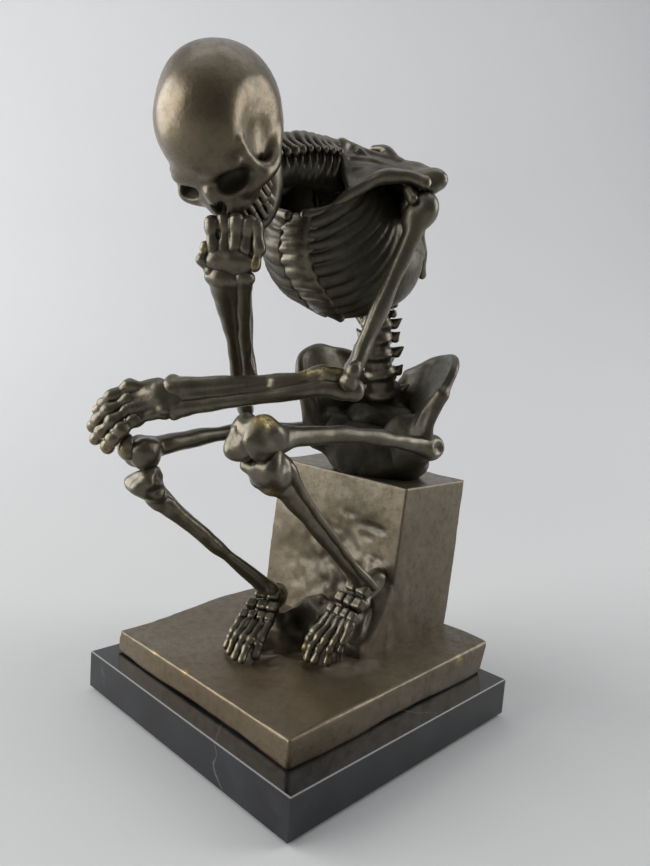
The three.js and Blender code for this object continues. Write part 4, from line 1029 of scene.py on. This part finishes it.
def column(points, count, radii, process, wings, lean, tip_size, seed, drift=0.0):
    """Drum-shaped vertebrae, each with a process behind it, which leans along the spine, and wings beside it.

    With drift the processes lean to one side, and the wings end in hooks.
    """
    clay = Clay(FINE)
    pitch = sum(np.linalg.norm(b - a) for a, b in pairwise(points)) / count
    for i in range(count):
        t = (i + 0.5) / count
        centre = along_curve(points, t)
        along = heading(along_curve(points, t - 0.4 / count), along_curve(points, min(t + 0.4 / count, 1)))
        side = square(HIP_AXIS, along)
        back = np.cross(along, side)
        axes = (side, back, along)
        r = mix(*radii, t)
        clay.add(rod(centre - along * pitch * 0.5, centre + along * pitch * 0.5, r * 0.8), 0.5)
        clay.add(ball(centre, (r, r * 0.9, pitch * 0.46), axes), 1.2)
        root = centre + back * r * 0.6
        tip = centre + back * (r + process) + along * pitch * lean + side * drift
        clay.add(rod(root, tip, (2.2, pitch * 0.42), (tip_size, tip_size), up=along), 1)
        for k in (1, -1):
            knob = centre + side * k * (r + wings) + back * r * 0.4
            if drift:
                hook = knob + side * k * (4.6 - 1.6 * (i % 2)) + along * pitch * 0.3
                clay.add(rod(root, knob, 2.6, 2.4), 1).add(rod(knob, hook, (2.4, 3), (0.7, 0.7), up=along), 1)
            else:
                arch = rod(knob, tip, 1.7, tip_size)
                clay.add([rod(root, knob, 2.3, 1.8), ball(knob, (2, 2.2, pitch * 0.3), axes), arch], 0.6)
    return clay.roughen(0.7, 4, seed)


def lumbar_spine():
    return column(
        LUMBAR_POINTS, 5, (9.8, 8.8), process=10, wings=0.4, lean=0.45, tip_size=0.8, seed=71, drift=4,
    )


def thoracic_spine():
    return column(SPINE_POINTS, 12, (7.4, 6.6), process=4, wings=1.5, lean=-0.4, tip_size=1.8, seed=72)


def neck_vertebrae():
    clay = column(NECK_POINTS, 11, (9.4, 9), process=0.2, wings=0.4, lean=0.7, tip_size=1.9, seed=73)
    clay.add(limb([(p + Z * 7, 4.4) for p in NECK_POINTS]), 1.5)
    clay.add(limb([(p - Z * 5 - HIP_AXIS * 2, 8) for p in NECK_POINTS]), 3)
    # The dark spot is painted shade on the throat, under the skull.
    return clay.wear(NECK_MIDDLE - Z * 9, 12, 0.9, "dark")


for part in (lumbar_spine, thoracic_spine, neck_vertebrae):
    show(part(), part.__name__)


# Skull and jaw, upright with the face along -Y, then turned as the head is
def teeth(k, width, depth, top, bottom, radii):
    """Half a row of teeth on an arch."""
    angles = [math.radians(TOOTH_FIRST + TOOTH_PITCH * i) for i in range(TEETH)]
    arch = [vec(k * width * math.sin(a), TOOTH_ARCH_Y - depth * math.cos(a), 0) for a in angles]
    return [rod(p - Z * top, p - Z * bottom, *radii) for p in arch]


def skull():
    clay = Clay(FINE).knobs(
        None, (vec(0.9, -1, 15), (24, 31.5, 27), 0), (vec(0.6, -12, 17), (20.6, 20.5, 21), 6),
        (vec(-9.6, 8.4, 22), (14.6, 17.4, 15.4), 12), (vec(0, 4, -1), (17, 20, 11), 6),
        (vec(0, -20, -5), (15.5, 13, 12), 4), (vec(0, -20.5, -12), (12, 13, 7), 3),
    )
    # The halves of the face differ in the cheek's width, the brow's end, the temples and the eye sockets
    for k, wide, brow, soft, inner_soft, orbit, socket in (
        (1, 1, 18.4, 11, 2.5, vec(11.4, -31, 0), (7.6, 9.5, 5.4)),
        (-1, -1.12, -16, 15, 7, vec(-13.6, -30.2, -0.4), (6.6, 8.6, 4)),
    ):
        clay.add(ball(vec(k * 10, -25.5, 7), (8.5, 6, 4.5)), 5)
        clay.carve(ball(vec(k * 34.4, -10, 8.4), (13.4, 14.5, 15.5)), soft)
        clay.carve(ball(vec(k * 30.6, -10, 5), (12.4, 11.5, 12)), inner_soft)
        clay.add(shaft(
            vec, (brow, -21, 12, 1.2), (wide * 18.4, -21.5, 7, 2), (wide * 18.2, -21, 2, 2.8),
            (wide * 18.4, -19, -4, 3.4),
        ), 3)
        clay.add(shaft(
            vec, (k * 13, -24, -6, 4), (wide * 18.6, -18.5, -6, 3.6), (k * 19.9, -11, -6.4, 3.2),
            (k * 18, -3, -4.6, 3.2), (k * 16.4, 5, -1, 3.2),
        ), 3)
        if k < 0:
            clay.add(ball(vec(-14.6, -24.6, -3.6), (8.4, 4.6, 5.2)), 4)
        # The dark spot is painted shade in the eye socket, with some old patina.
        clay.carve(ball(orbit, socket), 1.2).wear(orbit + Y * 5, 7.8, 1, "dark")
        clay.carve(ball(vec(k * 1.4, -34, -8), (2.3, 6, 3.8)), 0.9)
        clay.add(teeth(k, 12, 17.6, top=13.5, bottom=17.8, radii=(1.2, 1.4)), 0.6)
    clay.add(shaft(vec, (0, -32.4, -1, 1.8), (0, -33, -4.4, 1.2)), 3.5)
    # The dark spot is painted shade in the nose; the warm spot is the bronze's own tone.
    clay.wear(vec(0, -30, -8), 3.6, 1, "dark").wear(vec(0, -2, 22), 32, 1, "warm")
    return clay.roughen(0.6, 15, 81).moved(HEAD_TURN, HEAD)


def jaw():
    clay = Clay(FINE)
    for k in (1, -1):
        clay.add(shaft(
            vec, (k * 12.6, 0, -5, (2.4, 5)), (k * 12, -4, -15, (2.6, 6)), (k * 11, -10, -21.5, (2.8, 4.6)),
            (k * 8.6, -20, -26, (2.8, 3.4)), (0, -29, -27, (3, 3.8)), up=Z,
        ), 1.5)
        clay.add(teeth(k, 11.4, 16.8, top=19.6, bottom=24, radii=(1.5, 1.4)), 0.6)
    clay.add(ball(vec(0, -30, -28), (5, 3.4, 3)), 2.5).add(ball(vec(0, -14, -18), (12, 13, 8)), 1)
    return clay.roughen(0.15, 4, 82).moved(HEAD_TURN, HEAD)


show(skull(), "skull")
show(jaw(), "jaw")

# Chest
BREAST_POINTS = [
    BREAST, mix(BREAST, XIPHOID, 0.4) + vec(-1.5, -13, 0), mix(BREAST, XIPHOID, 0.75) + vec(-1, -10, -2),
    XIPHOID,
]


def chest(side, u, v):
    """A point on the rib cage and the way out there: u runs from spine to breastbone, v from neck down."""
    level = 0.04 + 0.95 * v
    back = along_curve(SPINE_POINTS, 1 - (0.06 + 0.75 * v))
    front = along_curve(BREAST_POINTS, level)
    angle = math.pi * (0.06 + 0.89 * u)
    width = CHEST_HALF_WIDTH * math.sin(math.pi * (0.13 + 0.7 * level)) ** 0.7
    middle = mix(back, front, 0.5)
    p = mix(middle, back, math.cos(angle)) + CHEST_OUT * SIGN[side] * width * math.sin(angle) ** 0.85
    return p + Z * CHEST_ARCH * math.sin(angle) ** 2, heading(middle, p)


def rib_level(u, v):
    """Where a rib runs: each rises from breastbone to armpit, and falls a little from there to the spine."""
    t = min(max((1 - u) / (1 - RIB_PEAK), 0), 1)
    rise = t**1.7 if u > RIB_PEAK else 1 - 0.7 * ((RIB_PEAK - u) / RIB_PEAK) ** 1.2
    return max(v * (1 - 0.58 * rise), 0.015)


def rib_cage(side):
    def wall(u, v):
        p, out = chest(side, u, v)
        return p - out * 1.2

    clay = Clay().add(sheet(wall, 26, 70, lambda u, v: 1.4))
    bars = 30
    for i in range(RIB_PAIRS):
        v = (i + RIB_START) / RIB_PAIRS
        ends = []
        for u in (j / bars for j in range(bars + 1)):
            size = (3 - 0.9 * math.sin(math.pi * u), 2.1 - 0.9 * v)
            ends.append((*chest(side, u, rib_level(u, v)), size))
        clay.add([rod(a, b, ra, rb, up=out) for (a, out, ra), (b, _, rb) in pairwise(ends)], 1.4)
    # The dark spots are painted shade on the front of the chest under the head, and high on its side under
    # the collar bone.
    clay.wear(chest(side, 0.75, 0.6)[0], 44, 0.75, "dark").wear(chest(side, 0.5, 0.12)[0], 14, 0.8, "dark")
    return clay.roughen(1, 8, 91 + SIGN[side])


def sternum():
    def on(t):
        return along_curve(BREAST_POINTS, t) + Y * 0.8

    widths = ((0, 9), (0.2, 9), (0.45, 9), (0.7, 8.4), (0.88, 6), (1, 2.4))
    clay = Clay().add(shaft(on, *((t, (w, 2.6)) for t, w in widths), up=Y), 1)
    # Bars in line with the ribs
    for i in range(RIB_PAIRS - 1):
        p = along_curve(BREAST_POINTS, 0.04 + 0.95 * (i + RIB_START) / RIB_PAIRS) - Y * 0.6
        wide = CHEST_OUT * (9.4 - 0.4 * i)
        rows = ((-1, 2.6, 2.2), (-0.4, 0, 2), (0.4, 0, 2), (1, 2.6, 2.2))
        clay.add(limb([(p + wide * out + Y * behind, r) for out, behind, r in rows]), 2.2)
    return clay.roughen(0.25, 4, 95)


def collar(side):
    """The line of the collar bone and its thickness along it."""
    inner = BREAST + CHEST_OUT * SIGN[side] * 5 + Z
    outer = shoulder[side] + vec(0, -3, 9.5)
    return [(mix(inner, outer, t) + Z * lift, r) for t, lift, r in (
        (0, 0, 3), (0.22, 1.2, 2.2), (0.42, 5.4, 2.7), (0.64, 7.8, 3), (0.84, 5.4, 3.1), (1, 0.4, 3.4),
    )]


def clavicle(side):
    return Clay().add(limb(collar(side)), 1).roughen(1, 5, 101 + SIGN[side])


def scapula(side):
    k = SIGN[side]
    back = square(Y, CHEST_OUT)
    axes = (CHEST_OUT, back, Z)

    def at(out, behind, up):
        return shoulder[side] + CHEST_OUT * k * out + back * behind + Z * up

    in_top, in_low = at(-38, 3, 27), at(-28, 46, -20)
    out_top, out_low = at(-8, 9, 8), at(-17, 44, -26)
    near_neck = [NECK_BASE + CHEST_OUT * k * 3 + back * 4 + Z, NECK_BASE + CHEST_OUT * k * 8 + back * 11]
    ridge = [*near_neck, at(-21, 13, 23), at(-5, 11.5, 19), at(3, 5, 11)]

    def blade(u, v):
        return mix(mix(in_top, out_top, u), mix(in_low, out_low, u), v) + back * 3 * math.sin(math.pi * v)

    def mantle(u, v):
        return mix(along_curve(ridge, u), chest(side, 0.06 + 0.36 * u, 0.3)[0] + back * 1.5, v)

    def apron(u, v):
        front = along_curve([p for p, _ in collar(side)], 0.37 + 0.61 * u)
        return mix(along_curve(ridge, u), front, v) - Z * 2 * math.sin(math.pi * v)

    glenoid = at(-8, 3, 0)
    clay = Clay().add(sheet(blade, 22, 44, lambda u, v: 1.4 + 0.6 * abs(2 * u - 1) ** 3))
    clay.add(sheet(mantle, 24, 30, lambda u, v: 1.6), 0.5)
    for v, r in ((0, 2.4), (0.22, 2), (0.42, 2), (0.62, 2)):
        clay.add(limb([(mantle(0.04 + 0.92 * i / 6, v), r) for i in range(7)]), 1.2)
    # The top of the shoulder is closed from the ridge to the collar bone
    clay.add(sheet(apron, 24, 30, lambda u, v: 1.6), 1.5)
    for v in (0.25, 0.5):
        clay.add(limb([(apron(0.03 + 0.9 * i / 6, v) + Z * 0.4, 1.9) for i in range(7)]), 1.5)
    clay.add(limb([(apron(0, i / 5) + Z * 0.5, 2.2) for i in range(6)]), 1.5)
    # The dark spots are painted shade on the top of the shoulder, beside the neck and behind the collar bone.
    clay.wear(apron(0.4, 0.7), 15, 0.7, "dark").wear(apron(0, 0.5), 12, 0.9, "dark")
    clay.add(shaft(at, (-36, 14.5, 31, 2.6), (-30, 14, 30, 2.6), (-21, 13, 24, 2)), 2)
    clay.add(ball(glenoid, (5, 6, 8), axes), 3)
    clay.add(rod(glenoid, at(-13, 12, 2), 4, 3.2), 2.5)
    clay.add(ball(at(-1.5, 6, 13.5), (7.6, 6, 4.2), axes), 4)
    clay.add(shaft(at, (1, 4, 12.5, 3.6), (2, 2, 8.5, 2.8)), 4)
    clay.add(limb([(glenoid + Z * 6, 3), *stations(at, (-7, -5, 6, 2.6), (-3, -8, 2, 2.4))]), 2)
    return clay.roughen(1, 5, 105 + k)


show(sternum(), "sternum")
show_pairs(rib_cage, clavicle, scapula)

# Arms
HANDS = {
    "left": dict(
        along=vec(-0.56, -0.8, -0.2), back=vec(0.72, -0.58, 0.36), reach=vec(-0.4, -0.76, -0.5), thumb=1,
        curl=(0.1, 0.6, 0.3),
    ),
    "right": dict(
        along=vec(0.04, -0.1, 1), back=vec(0.65, -0.75, 0.1), reach=vec(0.04, -0.1, 1), thumb=-1,
        curl=(1.9, 1.2, 0.7),
    ),
}


def hand_frame(side):
    hand = HANDS[side]
    along = unit(hand["along"])
    back = square(hand["back"], along)
    return along, back, np.cross(along, back) * hand["thumb"]


def arm_frame(side):
    upper = heading(shoulder[side], elbow[side])
    fore = heading(elbow[side], wrist[side])
    return upper, fore, unit(np.cross(upper, fore))


def humerus(side):
    upper, fore, hinge = arm_frame(side)
    ahead = square(fore, upper)
    axes = (hinge, ahead, upper)
    head = shoulder[side] + vec(0, -1, -2)

    def on(t, forward=0.0):
        return mix(shoulder[side], elbow[side], t) + ahead * forward

    clay = Clay().add(ball(head, (6.6, 6.4, 8.4), axes))
    clay.add(ball(on(0.07, 4.5), (4, 3.6, 6), axes), 3)
    clay.add(shaft(
        on, (0.06, (5.8, 5.8)), (0.2, (5, 4.8)), (0.45, (4.4, 4.1)), (0.7, (4.9, 4.1)), (0.88, (6.8, 4.2)),
        (0.96, (8, 4.4)), up=ahead,
    ), 3)
    clay.carve(shaft(on, (0.12, -5.6, 1.2), (0.3, -4.8, 1.4), (0.5, -4.6, 0.8)), 1.6)
    for k, r in ((1, 5.2), (-1, 4.8)):
        clay.add(ball(elbow[side] + hinge * k * 5.4, (3.8, r, r), axes), 1.4)
        clay.add(ball(on(0.93) + hinge * k * 8.4, (2.8, 3.2, 4.2), axes), 1.6)
    clay.add(rod(elbow[side] - hinge * 6, elbow[side] + hinge * 6, 4), 1.4)
    clay.carve(ball(on(0.93, -5), (3, 2.6, 4), axes), 1.5)
    clay.roughen(*BONE_WAVES, 111 + SIGN[side])
    return clay.roughen(1.4, 4, 113, elbow[side], 12).roughen(1.2, 5, 114, head, 11)


def forearm_line(side):
    """A function for points along the forearm, t of the way to the wrist and off to the thumb's side."""
    _, fore, hinge = arm_frame(side)
    across = hand_frame(side)[2]
    start = hinge * (-1 if np.dot(hinge, across) < 0 else 1)

    def on(t, away):
        apart = square(mix(start, across, min(0.3 + t, 1)), fore)
        return mix(elbow[side], wrist[side], t) + apart * away

    return on


def ulna(side):
    upper, fore, hinge = arm_frame(side)
    on = forearm_line(side)
    tip = elbow[side] - fore * 4.5 + upper * 4
    slim = FOREARM_SLIM[side]
    clay = Clay().add(ball(tip, (4.4, 5.6, 5.2), (hinge, square(upper, fore), fore)))
    clay.add(limb([(elbow[side] + upper * 5, 4.2), *stations(
        on, (0.12, -2.5, 4.4), (0.3, -3.6 * slim, 3.6 * slim), (0.55, -4 * slim, 3.1), (0.82, -4.8, 3.5),
        (0.93, -5.6, 4.3), (0.98, -5.8, 4.6),
    )]), 2)
    clay.add(ball(on(0.98, -8.4), 2.4), 1.6)
    return clay.roughen(0.7, 6, 121 + SIGN[side]).roughen(0.6, 4, 123, tip, 9)


def radius(side):
    on = forearm_line(side)
    slim = FOREARM_SLIM[side]
    clay = Clay().add(shaft(
        on, (0.06, 5, 4), (0.12, 4.8, 3.2), (0.24, 4.6 * slim, 3.5 * slim), (0.5, 4.2 * slim, 3.5 * slim),
        (0.78, 4.4, 4.4), (0.92, 4, 5.6), (0.98, 3.6, 6),
    ), 1)
    # The cast web between the two bones
    clay.add(shaft(on, (0.1, 0, 2.4), (0.4, 0, 2), (0.75, 0, 2.6), (0.97, 0, 4.6)), 1.2)
    clay.add(ball(on(0.98, 8.4), 2.8), 2)
    clay.roughen(0.7, 6, 125 + SIGN[side]).roughen(0.5, 4, 127, on(0.1, 4), 11)
    if side == "left":
        rows = ((0.4, 2, 2.6), (0.24, 3.6, 3), (0.13, 4.6, 3.4), (0.05, 3.6, 3.4))
        top = [(on(t, 1) + Z * lift, r) for t, lift, r in rows]
        clay.add(limb(top), 3).roughen(2.4, 4, 128, top[2][0], 10)
        clay.wear(top[2][0] + Z * 3, 4, 1).wear(top[1][0] + Z * 3, 3.4, 0.8).wear(top[3][0] + Z * 2, 4, 0.7)
    else:
        clay.wear(on(0.95, -8), 2.6, 0.8)
    return clay


def across_hand(i):
    """Where finger i stands across the hand, from -1 to 1."""
    return (i - 1.5) / 1.5


def knuckle(side, i):
    along, _, across = hand_frame(side)
    spread = across_hand(i)
    end = wrist[side] + along * (6 + PALM_LENGTH[side] - 1.6 * spread**2)
    return end - across * spread * (PALM_HALF_WIDTH - 2)


def hand_palm(side):
    along, back, across = hand_frame(side)
    axes = (across, along, back)
    carpus, root_reach, soft = (4, 8, 1.8) if side == "left" else (5.4, 11, 0.9)
    centre = wrist[side] + along * carpus
    clay = Clay(FINE).add(ball(centre, (10.8, 6.4, 6.2), axes))
    if side == "left":
        clay.add(ball(wrist[side] - along * 2, (9.5, 6, 6), axes), 2)
        clay.add(ball(wrist[side] + along * 10, (9, 9, 3.8), axes), 3)
        clay.add([ball(centre + across * d + back * 3.4, (2.8, 2.8, 2.2), axes) for d in (-6, -1, 5)], 1.5)
    for i, (end_lift, lift) in enumerate(((0.9, 0.9), (-0.3, 0.2), (0.5, 0.7), (-0.6, 0))):
        root = wrist[side] + along * root_reach - across * across_hand(i) * 7 + back * 0.8
        end = knuckle(side, i) + back * end_lift
        clay.add(limb([(root, 3.1), (mix(root, end, 0.5) + back * lift, 2.1), (end, 3.6)]), soft)
    return clay.roughen(0.9, 4, 131 + SIGN[side])


def phalanges(points, thick, seed):
    """Finger bones through the points, with a knob at each joint."""
    clay = Clay(FINE)
    for a, b in pairwise(points):
        clay.add(limb([(a, thick), (mix(a, b, 0.5), thick * 0.74), (b, thick * 0.98)], steps=4), 0.5)
        thick *= 0.96
    return clay.roughen(0.7, 3.2, seed).wear(points[-1], thick * 1.4, 0.35)


def finger(side, i):
    along, back, across = hand_frame(side)
    reach = unit(HANDS[side]["reach"] + (X * 0.13 * i if side == "left" else 0))
    axis = unit(np.cross(reach, back))
    points = [knuckle(side, i)]
    angle = 0
    for curl, length in zip(HANDS[side]["curl"], PHALANX_LENGTHS[side]):
        angle -= curl
        turned = np.array(Matrix.Rotation(angle, 3, axis.tolist())) @ reach
        points.append(points[-1] + turned * length * FINGER_SCALE[i])
    if side == "right" and FINGERS[i] == "little":
        # The little finger hangs free beside the fist
        hang = ((0, 0), (3.6, 1), (4.6, 10), (3, 17))
        points = [points[0] - across * out - along * down for out, down in hang]
    return phalanges(points, FINGER_RADIUS + (1.0 if side == "left" else 0.5), 140 + i)


def thumb(side):
    along, back, across = hand_frame(side)
    if side == "left":
        root = wrist[side] + along * 5 + across * 6.5 - back * 3
        points = [root, root + along * 11 + across * 2 - back * 4, root + along * 21 + across * 2 - back * 9]
    else:
        root = wrist[side] + across * 8 + along
        points = [root, root + along * 5 + across * 4.4 + back, root + along * 10.5 + across * 2.4 + back]
    return phalanges(points, FINGER_RADIUS + 0.4, 150)


for s in SIDES:
    for part in (humerus, ulna, radius, hand_palm, thumb):
        show(part(s), f"{part.__name__}_{s}")
    for i, name in enumerate(FINGERS):
        show(finger(s, i), f"{name}_finger_{s}")

# Stage: a pale sweep of floor and backdrop behind the object, and soft light
AWAY = vec(-math.sin(math.radians(CAMERA_AZIMUTH)), math.cos(math.radians(CAMERA_AZIMUTH)), 0)
FLOOR_NEAR = -2600
FLOOR_FAR = 500
SWEEP_RADIUS = 900
SWEEP_STEPS = 24
SWEEP_TOP = 2600
SWEEP_HALF_WIDTH = 3000
WORLD_DIM = 0.18
WORLD_BRIGHT = 0.52
AIM = vec(0, -10, 180)


def sweep():
    side = np.cross(AWAY, Z)
    profile = [(FLOOR_NEAR, 0), (FLOOR_FAR, 0)]
    for i in range(1, SWEEP_STEPS + 1):
        a = math.radians(90 * i / SWEEP_STEPS)
        profile.append((FLOOR_FAR + SWEEP_RADIUS * math.sin(a), SWEEP_RADIUS * (1 - math.cos(a))))
    profile.append((FLOOR_FAR + SWEEP_RADIUS, SWEEP_TOP))
    edges = (-SWEEP_HALF_WIDTH, SWEEP_HALF_WIDTH)
    points = [AWAY * d + Z * h + side * w for d, h in profile for w in edges]
    faces = [(2 * i, 2 * i + 1, 2 * i + 3, 2 * i + 2) for i in range(len(profile) - 1)]
    mesh = mesh_of("floor", np.array(points), np.array(faces), {})
    floor = bpy.data.objects.new("floor", mesh)
    SCENE.collection.objects.link(floor)
    paint = paint_for("floor")
    # Painted light: the colour is a little lighter and mottled further from the camera and up the backdrop,
    # and even near the camera.
    cloth = paint.blend(paint.noise(3, 3), colour(0.56, 0.56, 0.57), colour(0.59, 0.59, 0.595))
    depth = paint.vector("DOT_PRODUCT", paint.place, AWAY, "Value")
    tone = paint.blend(paint.ramp(depth, 0.1, 1.1), colour(0.56, 0.56, 0.555), cloth)
    floor.data.materials.append(paint.finish(Base_Color=tone, Roughness=0.75))


def soft_light(name, place, aim, size, power):
    lamp = bpy.data.lights.new(name, "AREA")
    lamp.shape = "RECTANGLE"
    lamp.size, lamp.size_y = size
    lamp.energy = power
    back = unit(place - aim)
    side = unit(np.cross(Z, back))
    place_object(name, lamp, (side, np.cross(back, side), back), place)


def make_world():
    """Grey surroundings, darker on the camera's side as the room in the photograph is."""
    paint = Paint(bpy.data.worlds.new("world"), "Background", "Generated")
    side = paint.vector("DOT_PRODUCT", paint.place, AWAY + Z * 0.35, "Value")
    shade = paint.ramp(side, -0.5, 0.6, WORLD_DIM, WORLD_BRIGHT, shape="LINEAR")
    SCENE.world = paint.finish(Color=colour(0.92, 0.95, 1.0), Strength=shade)


sweep()
soft_light("light_left", vec(-1060, -1230, 720), AIM, (2.0, 1.5), 44)
soft_light("light_right", vec(800, 1150, 730), AIM, (0.8, 1.2), 11.5)
soft_light("light_top", vec(-150, 200, 1400), AIM, (1.4, 1.4), 2)
soft_light("light_backdrop", vec(-150, 200, 1500), vec(-950, 1000, 700), (1.4, 0.6), 3)
make_world()

SCENE.view_settings.view_transform = "Standard"
